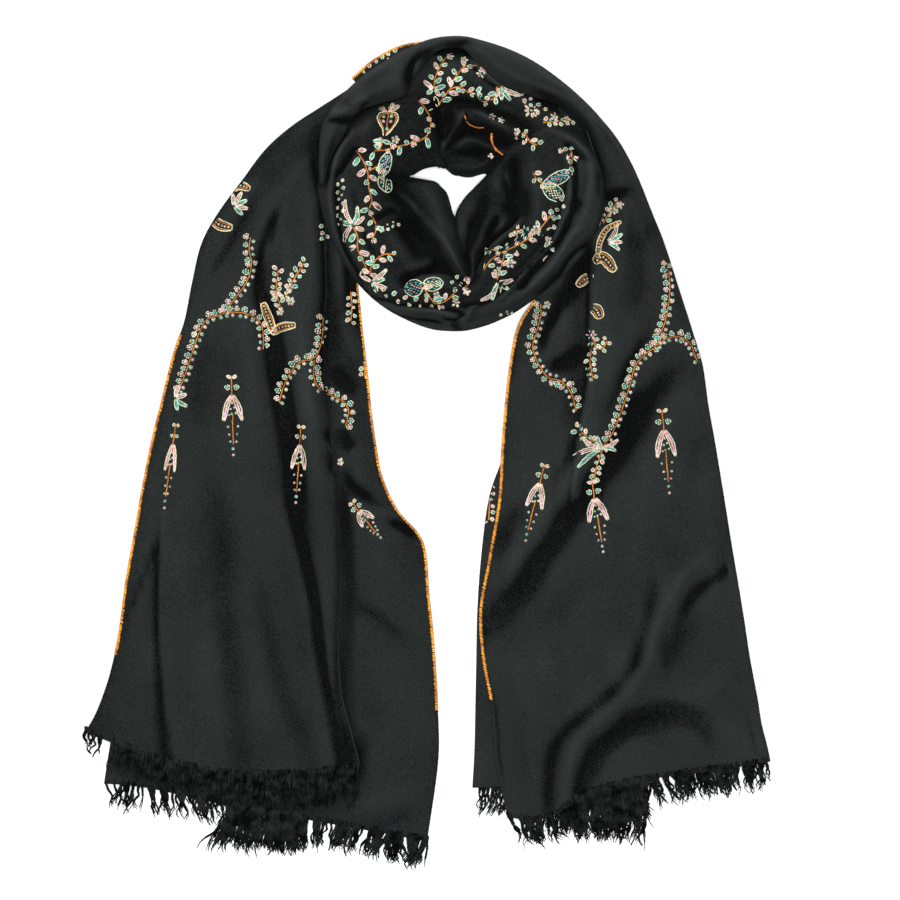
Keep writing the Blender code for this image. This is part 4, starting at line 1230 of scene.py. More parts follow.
# The cloth behind the nape, seen through the loop: an embroidered fall above two folds.
NAPE_FOLDS = (
    # turn, tuck, fall, hem, crease, ledge, hollow, sill, lip, drop
    (112, 138, 12, 120, 22, 100, 22, 90, 17, 80, 17, 66, 12, 50, 15, 40, 11, 33, 5),
    (95, 154, 12, 125, 28, 105, 27, 92, 20, 84, 18, 62, 8, 48, 18, 28, 12, 22.5, 4),
    (80, 150, 12, 120, 29, 100, 28, 92, 20, 84, 24, 64, 8, 56, 20, 28, 14, 21.5, 4),
    (65, 140, 12, 115, 29, 100, 29, 92, 22, 84, 27, 68, 10, 58, 20, 28, 14, 22, 4),
    (50, 140, 12, 118, 29, 104, 29, 94, 24, 86, 27, 74, 10, 60, 18, 33, 14, 26, 4),
    (38, 140, 10, 126, 25, 112, 26, 100, 23, 90, 23, 80, 13, 64, 16, 46, 12, 38, 4),
)
CRESCENT_FOLDS = (
    # turn, foot, rise, inner
    (131, 158, 2.5, 152, 5, 142, 5),
    (120, 160.5, 2.5, 153, 6, 142, 5),
    (108, 161, 2.5, 153, 6, 142, 5),
    (95, 157, 2.5, 151, 5, 144, 5),
)


LOOP_CREASES = (
    (-5, 2.4, 352, 127, 347, 135, 341, 142, 335, 150, 331, 157, 329, 166, 327, 186),
    (4, 3.2, 352, 134, 341, 150, 335, 161, 331, 173, 330, 184),
    (-8, 3.1, 364, 145, 354, 152, 347, 161, 341, 170, 336, 177, 335, 190),
    (3, 6, 372, 112, 367, 128, 357, 142),
    (-7, 3.1, 337, 176, 336, 190, 337, 214, 339, 231, 343, 245, 349, 258, 357, 272, 370, 291),
    (3.5, 3.2, 327, 188, 332, 214, 334, 232, 340, 250, 348, 264, 361, 281),
    (-6, 2, 355, 277, 364, 286, 377, 297, 390, 301, 400, 305, 416, 306, 435, 307, 457, 312, 470, 319),
    (3.5, 2.2, 370, 298, 385, 304, 404, 309, 422, 310, 435, 311, 454, 316, 468, 320),
    (-5, 2.2, 376, 303, 397, 312, 416, 318, 435, 321, 448, 324),
    (-6, 3, 449, 322, 457, 325, 465, 323),
    (4, 2.4, 455, 327, 466, 317, 472, 308, 483, 305),
    (-5, 2.6, 438, 315, 452, 319, 470, 313),
    (-3, 1.6, 477, 306, 490, 302, 502, 294, 512, 284, 520, 275, 530, 265, 540, 255, 552, 236, 560, 207, 567,
     182, 569, 168),
    (3.5, 2.2, 493, 303, 507, 292, 517, 281, 527, 270, 535, 262, 545, 252, 554, 241, 559, 230, 565, 217,
     569, 201, 571, 168),
    (-10, 3.9, 514, 294, 523, 285, 532, 271, 540, 264, 547, 256, 553, 249, 560, 240, 566, 228, 570, 216,
     576, 204),
    (-6, 4, 516, 290, 523, 286, 530, 280),
    (-8, 5.9, 568, 214, 576, 206, 582, 198),
    (4, 4, 508, 303, 527, 287, 540, 275, 552, 263, 561, 251, 568, 238, 578, 231, 593, 229),
    (-7, 3.1, 528, 298, 542, 290, 552, 280, 560, 272, 566, 262, 575, 252, 584, 244, 592, 231),
    (3.5, 3.2, 515, 308, 532, 298, 546, 290, 560, 280, 571, 266, 581, 253, 590, 243),
    (4, 4, 529, 137, 540, 132, 552, 131, 562, 135, 572, 141, 581, 150, 590, 157, 598, 162),
    (-9, 4.5, 560, 141, 573, 150, 582, 158, 593, 163),
    (1, 7, 584, 162, 584, 185, 584, 207),
    (-8, 9, 548, 116, 572, 128, 590, 145, 602, 170),
    (-11, 14, 500, 168, 484, 208, 470, 262),
    (-7, 12, 506, 172, 511, 200, 505, 226),
    (-8, 8, 480, 208, 471, 240, 466, 276),
    (-9, 10, 394, 216, 408, 238, 428, 262),
    (1.6, 2.2, 573, 201, 584, 213, 590, 220, 593, 230),
    (-8, 3.1, 573, 146, 574.5, 165, 574.5, 190, 574, 208),
    (-6, 3, 597, 160, 598, 180, 598, 207),
    (4, 4, 388, 188, 400, 194, 410, 202, 420, 215, 430, 227, 440, 237, 447, 246, 454, 257, 460, 270, 466,
     282),
    (-6, 2.6, 386, 189, 397, 199, 407, 207, 416, 218),
    (-13, 6.5, 410, 212, 422, 229, 434, 244, 444, 257),
    (-10, 5.9, 448, 256, 438, 266, 430, 271, 418, 275, 406, 279, 396, 289),
    (4, 11, 392, 220, 402, 240, 412, 264),
    (-5, 4, 366, 226, 380, 217, 402, 204),
    (2, 4, 382, 204, 392, 206, 402, 212),
    (4, 2.6, 508, 162, 507.5, 174, 510, 184, 515, 192, 522, 203),
    (-13, 5.2, 517, 156, 516, 172, 517, 186, 518, 198),
    (3.5, 5, 493, 176, 502, 192, 508, 208),
    (-11, 4.7, 499, 210, 496, 221, 490, 232, 484, 248),
    (3.5, 3.6, 510, 219, 501, 229, 491, 241),
    (-9, 3.4, 523, 211, 511, 223, 499, 233, 486, 245, 479, 257),
    (-8, 5.2, 489, 238, 484, 250, 478, 262, 474, 274),
    (-10, 3.4, 466, 248, 468, 262, 469, 279),
    (-2, 5, 530, 180, 527, 200, 530, 222),
    (-2, 4, 352, 175, 356, 205, 366, 240, 384, 268),
    (2, 5, 480, 268, 500, 262, 520, 244, 540, 225),
)
LOOP_STEPS = (
    (7, 1.8, 9, 468, 288, 457, 282, 450, 277, 441, 275, 430, 275, 420, 276, 410, 282, 400, 293),
    (7, 1.8, 9, 526, 210, 514, 225, 502, 235, 489, 247, 482, 258, 478, 268, 474, 278),
)
NAPE_CREASES = (
    (-9, 3.9, 432, 92, 437, 110, 437, 122, 436, 132, 435, 149, 426, 170),
    (-6, 6, 430, 58, 445, 50, 460, 50, 478, 58),
    (-7, 10, 452, 103, 447, 128, 440, 156),
    (-5, 12, 460, 138, 490, 150, 522, 153),
    (-8, 8, 514, 86, 545, 102, 574, 118),
    (-11, 4.4, 446, 152, 457, 138, 466, 118),
    (3, 2.6, 442, 151, 452, 145, 465, 141, 477, 141, 490, 146, 500, 150, 510, 151, 521, 149, 530, 151, 548,
     158),
    (-8, 3.6, 444, 156, 458, 152, 472, 153, 484, 153, 496, 153),
    (-7, 3.4, 498, 157, 512, 158, 524, 156, 536, 158, 548, 163),
    (2.6, 3, 438, 160, 452, 165, 471, 167, 481, 165, 492, 157, 502, 154),
    (3.5, 3, 468, 106, 477, 112, 486, 117, 496, 125, 505, 130, 510, 135, 516, 141),
    (-7, 3.4, 471, 102, 481, 107, 490, 112, 502, 117, 522, 118),
    (-8, 4.7, 498, 137, 509, 144, 522, 145),
    (-8, 4.7, 540, 149, 547, 156, 550, 164),
    (4, 2.4, 467, 54, 481, 68, 490, 78, 502, 87, 517, 95),
    (-5, 2, 465, 60, 478, 73, 490, 84, 506, 93),
)
NAPE_STEPS = (
    (8, 1.6, 8, 442, 152, 450, 138, 458, 126, 467, 109),
)


@dataclass
class Loop:
    """The band round the front of the neck and the cloth behind the nape.

    Attributes:
        rows: rows of the band's fine grid.
        counts: pieces in each run of the band's sections, from the outer edge in.
        nape_rows: rows of the nape's fine grid.
        nape_counts: pieces in each run of the nape's sections.
    """

    rows: int = 330
    counts: tuple[int, ...] = (3, 8, 9, 8, 8, 12, 14, 15, 18, 10, 3)
    nape_rows: int = 120
    nape_counts: tuple[int, ...] = (12, 14, 8, 6, 12, 12, 14, 6)

    def end(self, row: tuple, turn: float, drop: float) -> list:
        """A row moved to another turn and sunk, so that the band's end rolls under its neighbour."""
        return [(turn, *((*fold[:-1], max(1.5, fold[-1] - drop)) for fold in row[1:]))]

    def band_section(self, turn: float, folds: tuple) -> list:
        """Middle line of the band's cloth at one direction, from its outer foot to its inner edge.

        Args:
            turn: the direction, in degrees.
            folds: distances and heights, or plan points with heights.

        Returns:
            The fold points.
        """
        points = [Plan.turned(turn, *fold) if len(fold) == 2 else fold for fold in folds]
        foot = folds[0]
        points.insert(0, Plan.turned(turn, foot[0] - 5, max(0.8, foot[1] - 3)))
        x, y, height = points[-1]
        away = math.hypot(x - points[-2][0], y - points[-2][1])
        back = 2.5 / max(away, 1.0)
        points.append((x + (points[-2][0] - x) * back, y + (points[-2][1] - y) * back, max(1.0, height - 5)))
        return points

    def band(self) -> Sheet:
        """The band with the two falls of cloth that hang into the loop."""
        table = [(turn, *pairs(flat), *falls[1:]) for (turn, *flat), falls in zip(FRONT_FOLDS, FALL_FOLDS)]
        table = [*self.end(table[0], 105, 9), *table, *self.end(table[-1], 404, 9)]
        rows = [self.band_section(turn, folds) for turn, *folds in table]
        turns = [row[0] for row in table]
        spots = np.interp(np.linspace(turns[0], turns[-1], self.rows), turns, np.arange(len(turns)))
        grid = loft(rows, self.counts, self.rows, spots)
        # Painted shade: the band starts darker than the tails, darkens more towards the loop's middle, where
        # it lies deep in the hole, and the painted shade of its folds is stronger.
        made = Sheet("shawl_loop", grid, crisp=4.0, inner=0.2, gain=0.03, base=0.38)
        made.fold(creases(LOOP_CREASES, LOOP_STEPS), slice(3, -3))
        made.clear(1.0)
        return made

    def nape(self) -> Sheet:
        """The cloth behind the nape."""
        table = [(turn, *pairs(flat)) for turn, *flat in sorted(NAPE_FOLDS)]
        table = [*self.end(table[0], 31, 7), *table, *self.end(table[-1], 119, 7)]
        rows = [[Plan.turned(turn, *fold) for fold in folds] for turn, *folds in table]
        turns = [row[0] for row in table]
        spots = np.interp(np.linspace(turns[0], turns[-1], self.nape_rows), turns, np.arange(len(turns)))
        grid = loft(rows, self.nape_counts, self.nape_rows, spots)
        # Painted shade: the nape's cloth starts darker still and darkens more towards the loop's middle, deep
        # in the hole.
        made = Sheet("shawl_nape", grid, crisp=4.0, inner=0.3, gain=0.03, base=0.32)
        made.fold(creases(NAPE_CREASES, NAPE_STEPS))
        made.clear(1.0)
        return made

    def crescent(self) -> Sheet:
        """The strip of the under layer that peeps out at the top left."""
        rows = [[Plan.turned(turn, *fold) for fold in pairs(flat)] for turn, *flat in sorted(CRESCENT_FOLDS)]
        return Sheet("shawl_nape_under", loft(rows, (10, 10), 60))


# ---- Stitches, fringe and edging ----


class Drape:
    """Finds the top of the cloth under a plan point."""

    HIGH = 0.2

    def __init__(self, sheets: list) -> None:
        """Gather the upper sides of the sheets.

        Args:
            sheets: the laid sheets.
        """
        points, faces, count = [], [], 0
        self.names, self.starts = [], []
        total = 0
        for sheet in sheets:
            world = Plan.place(sheet.grid)
            rows, columns = world.shape[:2]
            quads = ShellMesh.quads(rows, columns)[: (rows - 1) * (columns - 1)]
            points.append(world.reshape(-1, 3))
            faces.append(quads + count)
            count += rows * columns
            self.names.append(sheet.name)
            self.starts.append(total)
            total += len(quads)
        self.tree = BVHTree.FromPolygons(np.concatenate(points).tolist(), np.concatenate(faces).tolist())

    def under(self, x: float, y: float) -> tuple[Vector, Vector, str]:
        """Highest surface point over a place, its normal and whose it is.

        Args:
            x: world x.
            y: world y.

        Returns:
            The point, its unit normal and the sheet's name, on the floor where there is no cloth.
        """
        place, normal, face, _ = self.tree.ray_cast(Vector((x, y, self.HIGH)), Vector((0, 0, -1)))
        if place is None:
            return Vector((x, y, 0.0)), Vector((0, 0, 1)), "floor"
        owner = self.names[bisect.bisect_right(self.starts, face) - 1]
        return place, normal if normal.z > 0 else -normal, owner


class Stitchwork:
    """Many small lens-shaped stitches of one thread, gathered and made as one mesh."""

    RINGS = (0.28, 0.72)
    SINK = 0.35

    def __init__(self) -> None:
        """Start with none."""
        self.starts: list = []
        self.ends: list = []
        self.ups: list = []
        self.widths: list = []
        self.heights: list = []

    def add(self, start: Vector, end: Vector, up: Vector, width: float, height: float) -> None:
        """Add a stitch between two points, with its up direction, width and height in metres."""
        self.starts.append(tuple(start))
        self.ends.append(tuple(end))
        self.ups.append(tuple(up))
        self.widths.append(width)
        self.heights.append(height)

    def build(self, name: str, material: Material) -> bpy.types.Object:
        """Make the mesh: two tips and two rings of four corners to each stitch.

        Args:
            name: the piece's name.
            material: its finish.

        Returns:
            The object.
        """
        start, end, up = (np.array(values, float) for values in (self.starts, self.ends, self.ups))
        width = np.array(self.widths)[:, None]
        height = np.array(self.heights)[:, None]
        run = end - start
        side = unit(np.cross(run, up))
        up = unit(np.cross(side, run))
        rows = [start]
        for share in self.RINGS:
            middle = start + run * share + up * height * 0.4
            rows += [middle + side * width / 2, middle + up * height * 0.6]
            rows += [middle - side * width / 2, middle - up * height * (0.4 + self.SINK)]
        rows.append(end)
        points = np.stack(rows, axis=1).reshape(-1, 3)
        faces = []
        for k in range(4):
            n = (k + 1) % 4
            faces += [(0, 1 + n, 1 + k), (1 + k, 1 + n, 5 + n), (1 + k, 5 + n, 5 + k), (9, 5 + k, 5 + n)]
        count = len(rows)
        all_faces = (np.array(faces)[None] + np.arange(len(start))[:, None, None] * count).reshape(-1, 3)
        return ShellMesh.add(name, points, all_faces, material)


@dataclass
class Edging:
    """Whip-stitching along the cloth's long edges.

    Attributes:
        pitch: from one stitch to the next, in metres.
        bite: how far a stitch reaches into the cloth, in metres.
        proud: how far it stands outside the edge, in metres.
        width: of a stitch, in metres.
    """

    pitch: float = 0.0017
    bite: float = 0.0026
    proud: float = 0.0006
    width: float = 0.0017

    SLANT = 0.0007

    def along(self, work: Stitchwork, sheet: Sheet, column: int, rows: slice, seed: int) -> None:
        """Stitch along one edge of a sheet.

        Args:
            work: where the stitches go.
            sheet: the cloth.
            column: 0 for its first edge, -1 for its last.
            rows: the stretch of the edge.
            seed: for the thread's unevenness.
        """
        source = random.Random(seed)
        world = Plan.place(sheet.grid)
        edge = world[rows, column]
        inner = world[rows, 1 if column == 0 else -2]
        walked = walk(edge)
        count = int(walked[-1] / self.pitch)
        spots = np.linspace(0, walked[-1], count)
        line = pick(spots, walked, edge)
        inward = unit(pick(spots, walked, inner - edge))
        tangent = unit(np.gradient(line, axis=0))
        up = np.cross(inward, tangent)
        up *= np.where(up[:, 2:] < 0, -1, 1)
        for i in range(count):
            wander = source.uniform(-0.25, 0.25) * self.pitch
            bite = self.bite * source.uniform(0.85, 1.15)
            base = line[i] + tangent[i] * wander + up[i] * 0.0006
            start = base - inward[i] * self.proud - tangent[i] * self.SLANT
            end = base + inward[i] * bite + tangent[i] * self.SLANT
            work.add(start, end, up[i], self.width * source.uniform(0.85, 1.1), 0.0009)


@dataclass
class Fringe:
    """Loose wavy locks of yarn along one hem, each of a few twisted plies.

    Attributes:
        name: the hem's name.
        density: locks to a plan step of hem.
        least: shortest lock, in steps.
        most: longest lock, in steps.
        seed: which locks.
        scales: places along the hem, from 0 to 1, and how much longer and closer the locks are there.
    """

    name: str
    density: float
    least: float
    most: float
    seed: int
    scales: tuple

    RINGS = 13
    SIDES = 3
    PLIES = 3
    ROOT = 0.0009
    TWIST = 0.75
    CURL = 3.0
    CLUMP = 9.0

    def build(self, spine: Array, drape: Drape, material: Material) -> bpy.types.Object:
        """Make the locks.

        Args:
            spine: points along the hem, in plan steps and millimetres.
            drape: finds what the locks lie on.
            material: their finish.

        Returns:
            The piece.
        """
        source = np.random.default_rng(self.seed)
        walked = walk(spine[:, :2])
        count = int(walked[-1] * self.density)
        scale = np.interp(np.linspace(0, 1, 200), *zip(*self.scales))
        crowd = np.cumsum(scale**2) / np.sum(scale**2)
        spots = walked[-1] * np.interp(np.sort(source.uniform(0, 1, count)), crowd, np.linspace(0, 1, 200))
        root = pick(spots, walked, spine)
        chord = unit(spine[-1, :2] - spine[0, :2])
        fall = np.array([-chord[1], chord[0]])
        fall *= 1 if fall[1] > 0 else -1
        clumps = np.floor(spots / self.CLUMP)
        centre = (clumps + 0.5) * self.CLUMP
        drift = source.normal(0, 1, int(clumps.max()) + 2)[clumps.astype(int)]
        slow = np.sin(spots * 0.045 + self.seed) + 0.6 * np.sin(spots * 0.13 + 2 * self.seed)
        lean = 0.12 * slow + 0.12 * drift + source.normal(0, 0.1, count)
        length = source.uniform(self.least, self.most, count)
        length *= np.interp(spots / walked[-1], *zip(*self.scales))
        gather = source.uniform(0.0, 0.5, count)
        t = np.linspace(0, 1, self.RINGS)[None, :]

        def each(low: float, high: float) -> Array:
            """One number for each lock, in a column."""
            return source.uniform(low, high, count)[:, None]

        turns, phase, curl = each(0.9, 2.1), each(0, 2 * math.pi), self.CURL * each(0.4, 1.3)
        wave = curl * np.sin(2 * math.pi * turns * t + phase) * t**0.7
        sideways = lean[:, None] * length[:, None] * t**1.2 + wave
        sideways += (gather * (centre - spots))[:, None] * t**1.4
        forward = length[:, None] * t - each(1.0, 6.0)
        forward += 0.4 * curl * np.cos(2 * math.pi * turns * t + phase) * t
        x = root[:, :1] + chord[0] * sideways + fall[0] * forward
        y = root[:, 1:2] + chord[1] * sideways + fall[1] * forward
        places = Plan.place(np.stack([x, y, np.zeros_like(x)], axis=-1))
        ground = np.array([[drape.under(px, py)[0].z for px, py, _ in row] for row in places]) / MM
        ground = np.where(ground > root[:, 2:] + 1.5, root[:, 2:], ground)
        held = root[:, 2:] * np.exp(-2.6 * t) * (1 - t)
        z = np.maximum(ground, np.minimum(held, root[:, 2:])) + 0.9
        z += each(0.1, 2.2) * np.sin(math.pi * t) ** 0.7
        z[:, 0] = root[:, 2] + 0.3
        spin, strands = each(0.8, 2.0), []
        for ply in range(self.PLIES):
            turn = 2 * math.pi * (ply / self.PLIES + spin * t) + phase
            splay = each(-0.9, 0.9) * t**2.5
            off = self.TWIST * (1 - 0.75 * t) * np.cos(turn) + splay
            up = 0.8 * self.TWIST * (1 - 0.75 * t) * np.sin(turn) * ease(4 * t)
            reach = 1 - each(0.0, 0.25)
            strands.append(np.stack([x + chord[0] * off, y + chord[1] * off, z + up], axis=-1))
            first = strands[-1][:, :1]
            strands[-1] = first + (strands[-1] - first) * np.stack([reach, reach, reach**0], -1)
        path = Plan.place(np.concatenate(strands))
        run = unit(np.gradient(path, axis=1))
        side = unit(np.cross(run, np.array([0.0, 0.0, 1.0])))
        up = np.cross(side, run)
        thick = self.ROOT * source.uniform(0.7, 1.25, len(path))[:, None] * (1 - 0.7 * t**1.5)
        rings = []
        for k in range(self.SIDES):
            angle = 2 * math.pi * k / self.SIDES + math.pi / 2
            rings.append(path + (side * math.cos(angle) + up * math.sin(angle)) * thick[..., None])
        points = np.stack(rings, axis=2).reshape(-1, 3)
        ids = np.arange(len(points)).reshape(len(path), self.RINGS, self.SIDES)
        turned = np.roll(ids, -1, axis=2)
        walls = np.stack([ids[:, :-1], turned[:, :-1], turned[:, 1:], ids[:, 1:]], axis=-1).reshape(-1, 4)
        halves = np.concatenate([walls[:, [0, 1, 2]], walls[:, [0, 2, 3]]])
        tips = np.concatenate([ids[:, 0, ::-1], ids[:, -1]])
        made = ShellMesh.add(f"fringe_yarn_{self.name}", points, np.concatenate([halves, tips]), material)
        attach(made, "root")
        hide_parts(f"fringe_{self.name}")
        LOG.info("%s: %d locks", made.name, count)
        return made


# ---- Embroidery ----


class Thread(Enum):
    """The threads of the embroidery."""

    CREAM = "cream"
    PINK = "pink"
    TEAL = "teal"
    ORANGE = "orange"
    GOLD = "gold"


@dataclass
class Needle:
    """Works motifs on the laid cloth, stitch by stitch, from plan points.

    Attributes:
        drape: finds the cloth under a point.
        source: for the hand's unevenness.
        work: the stitches of each thread.
        cloths: names of the sheets that may be worked on.
    """

    drape: Drape
    source: random.Random
    work: dict
    cloths: tuple = ()

    JUMP = 4.5
    THICK = 0.0005
    HAND = 0.32
    OVERLAP = 0.3
    STEMLESS = 4.45
    SPREAD = 54.0
    BLOOM = 6.3
    BLOOM_SPACING = 7.1
    SEEDS = (Thread.PINK, Thread.TEAL)
    NET = (Thread.CREAM, Thread.TEAL, Thread.CREAM, Thread.PINK)
    PETAL = ((0.2, 1.0, 3.0, 0.0, Thread.CREAM), (0.4, 0.86, 1.5, 0.25, Thread.PINK))

    def stitch(self, thread: Thread, start: Spot, end: Spot, width: float, lift: float = 0.0) -> None:
        """One stitch between two plan points.

        Args:
            thread: its thread.
            start: first plan point.
            end: last plan point.
            width: in steps.
            lift: how far it lies over other stitches, in millimetres.
        """
        ends = []
        for x, y in (start, end):
            x += self.source.uniform(-self.HAND, self.HAND)
            y += self.source.uniform(-self.HAND, self.HAND)
            place = Plan.place(np.array((x, y, 0.0)))
            ends.append(self.drape.under(place[0], place[1]))
        (first, up, owner), (last, other, neighbour) = ends
        if abs(first.z - last.z) > self.JUMP * MM or not {owner, neighbour} <= set(self.cloths):
            return
        up = (up + other).normalized()
        raised = up * (0.0004 + lift * MM)
        self.work[thread].add(first + raised, last + raised, up, width * Plan.STEP, self.THICK)

    def run(self, thread: Thread, path: Path, width: float, length: float = 3.0, lift: float = 0.0) -> None:
        """Stitches end to end along a smooth path."""
        line = curve_of(path, length)
        for first, last in zip(line[:-1], line[1:]):
            over = self.OVERLAP * (last - first)
            self.stitch(thread, first - over, last + over, width, lift)

    def beside(self, path: Path) -> tuple[Array, Array]:
        """A smooth path's points and the unit vector to its right at each of them."""
        line = curve_of(path, 2.2)
        along = unit(np.gradient(line, axis=0))
        return line, np.stack([along[:, 1], -along[:, 0]], axis=1)

    def blade(self, path: Path, width: float, fill: Thread) -> None:
        """A pointed petal or leaf along a path: filled along its middle, outlined in cream on both sides."""
        line, side = self.beside(path)
        share = np.linspace(0, 1, len(line))
        reach = width / 2 * np.sin(math.pi * np.clip(share, 0.04, 0.96)) ** 0.45
        for sign in (-1, 1):
            self.run(Thread.CREAM, line + side * (sign * reach)[:, None], 1.35, 3.6, 0.1)
        self.run(fill, line[:: len(line) - 1 if len(line) < 5 else 1], max(width - 2.1, 1.1), 4.0, 0.2)

    def leaf(self, at: Spot, angle: float, length: float, width: float, fill: Thread) -> None:
        """A small leaf that grows from a point at an angle, in degrees from the plan's x."""
        tip = toward(at, angle, length)
        middle = ((at[0] + tip[0]) / 2, (at[1] + tip[1]) / 2)
        self.blade([at, middle, tip], width, fill)

    def dot(self, at: Spot, size: float, fill: Thread) -> None:
        """A seed stitch with a pale rim."""
        angle = self.source.uniform(0, math.pi)
        dx, dy = math.cos(angle) * size / 2, math.sin(angle) * size / 2
        for share, width, thread, lift in ((1.0, 1.0, Thread.CREAM, 0.0), (0.75, 0.56, fill, 0.25)):
            first = (at[0] - dx * share, at[1] - dy * share)
            self.stitch(thread, first, (at[0] + dx * share, at[1] + dy * share), size * width, lift)

    def floret(self, at: Spot, angle: float, size: float, fill: Thread) -> None:
        """A little three-lobed bloom: a pale rim round a coloured heart.

        Args:
            at: plan point of its middle.
            angle: where its first lobe points, in degrees.
            size: across, in steps.
            fill: thread of its heart.
        """
        rim = [toward(at, angle + 60 * k, size / 2 * (0.74 if k % 2 else 1.0)) for k in range(7)]
        for first, last in zip(rim[:-1], rim[1:]):
            self.stitch(Thread.CREAM, first, last, 1.15, 0.1)
        for lobe in (angle + 20, angle + 95):
            self.stitch(fill, toward(at, lobe, -0.3 * size), toward(at, lobe, 0.3 * size), size * 0.4, 0.2)

    def rosette(self, at: Spot, radius: float, petals: int) -> None:
        """A round bloom of small petals, each a pale stitch with a pink one over it.

        Args:
            at: plan point of its middle.
            radius: in steps.
            petals: how many.
        """
        for k in range(petals):
            turn = 360 * k / petals + self.source.uniform(-12, 12)
            reach = radius * self.source.uniform(0.85, 1.1)
            for near, far, width, lift, thread in self.PETAL:
                ends = (toward(at, turn, reach * share) for share in (near, far))
                self.stitch(thread, *ends, width, lift)
        self.dot(at, 2.6, Thread.TEAL)

    def butterfly(self, body: Spot, wings: tuple) -> None:
        """Wings that open from a body: pale rims, teal inner lines and a net between them.

        Args:
            body: plan point where the wings meet.
            wings: each wing's tip x, tip y and width.
        """
        for k, (tip_x, tip_y, width) in enumerate(wings):
            line = curve_of([body, ((body[0] + tip_x) / 2, (body[1] + tip_y) / 2), (tip_x, tip_y)], 2.0)
            run = unit(line[-1] - line[0])
            side = np.array([run[1], -run[0]])
            reach = width / 2 * np.sin(math.pi * np.linspace(0.06, 0.9, len(line))) ** 0.7
            for scale, thread, thick in ((1.0, Thread.CREAM, 1.3), (0.66, Thread.TEAL, 1.2)):
                left, right = (line + side * (sign * scale * reach)[:, None] for sign in (-1, 1))
                rim = curve_of([*left, line[-1] + run * 1.2, *right[::-1]], 2.6)
                for i in range(0, len(rim) - 1, 1 if thread is Thread.CREAM else 2):
                    over = self.OVERLAP * (rim[i + 1] - rim[i])
                    self.stitch(thread, rim[i] - over, rim[i + 1] + over, thick, 0.1)
            for i in range(1, len(line) - 1):
                for share in (-0.42, 0.0, 0.42) if i % 2 else (-0.2, 0.2):
                    near = line[i] + side * share * reach[i]
                    thread = self.NET[(i + k + round(5 * share)) % 4]
                    self.stitch(thread, near - run * 1.2, near + run * 1.2, 1.7, 0.1)
            self.stitch(Thread.ORANGE, body, line[int(len(line) * 0.3)], 1.3, 0.15)

    def palmette(self, at: Spot, petals: tuple) -> None:
        """A fan of long petals, each given by its angle, length and bend."""
        for k, (angle, length, bend) in enumerate(petals):
            turn = math.radians(angle)
            ux, uy = math.cos(turn), math.sin(turn)
            middle = (at[0] + ux * length / 2 - uy * bend, at[1] + uy * length / 2 + ux * bend)
            self.blade([toward(at, angle, 1.5), middle, toward(at, angle, length)], 3.7, self.SEEDS[k % 2])

    def pendant(self, top: Spot, tip: Spot, size: float) -> None:
        """A hanging drop: a stem with two pairs of leaves, a skirt of two long petals and a tail of seeds.

        Args:
            top: plan point that it hangs from.
            tip: plan point of its last seed.
            size: the motifs' scale.
        """
        run = (tip[0] - top[0], tip[1] - top[1])
        length = math.hypot(*run)
        lean = math.degrees(math.atan2(run[1], run[0]))

        def spot(share: float, off: float) -> Spot:
            """Plan point at a share of the drop's length and an offset to its side."""
            nx, ny = -run[1] / length, run[0] / length
            return (top[0] + run[0] * share + nx * off, top[1] + run[1] * share + ny * off)

        self.run(Thread.ORANGE, [spot(0, 0), spot(0.2, 0.3), spot(0.32, 0)], 1.3)
        self.run(Thread.ORANGE, [spot(0.48, 0), spot(0.65, 0.3), spot(0.86, 0)], 1.3)
        for sign in (-1, 1):
            self.leaf(spot(0.02, sign), lean + sign * 118, 4.5 * size, 2.8, Thread.PINK)
            self.floret(spot(0.14, sign * 4.6 * size), lean + sign * 100, 6.2 * size, Thread.TEAL)
            skirt = [spot(0.25, sign * 1.0), spot(0.38, sign * 5.8 * size), spot(0.56, sign * 9.2 * size)]
            self.blade(skirt, 4.8 * size, Thread.PINK)
            for k, share in enumerate((0.64, 0.74, 0.83)):
                fill = self.SEEDS[(k + (sign > 0)) % 2]
                self.dot(spot(share, sign * (5.0 - k) * size), 2.6, fill)
        for share, off in ((0.34, 0.5), (0.4, -2.0), (0.42, 2.0), (0.47, -3.4), (0.48, 0.6), (0.49, 3.4)):
            self.dot(spot(share, off * size), 2.5, self.source.choice((*self.SEEDS, Thread.CREAM)))
        self.dot(spot(0.92, 0.3), 3.2, Thread.TEAL)
        self.dot(spot(1.0, 0), 3.0, Thread.PINK)

    def pod(self, path: Path, width: float) -> None:
        """A curved pod: pale and orange outlines with seeds along its middle.

        Args:
            path: its middle line.
            width: across its widest place, in steps.
        """
        line, side = self.beside(path)
        side = side * (width / 2 * np.sin(math.pi * np.linspace(0.06, 0.94, len(line))) ** 0.4)[:, None]
        for share, thread in ((1.0, Thread.CREAM), (0.62, Thread.ORANGE)):
            for sign in (-1, 1):
                self.run(thread, line + side * (sign * share), 1.2)
        for k in (0, -1):
            self.stitch(Thread.CREAM, line[k] - side[k], line[k] + side[k], 1.2)
        for k, place in enumerate(curve_of(path, 3.4)[1:-1]):
            self.dot(place, 2.4, (Thread.TEAL, Thread.GOLD, Thread.PINK)[k % 3])

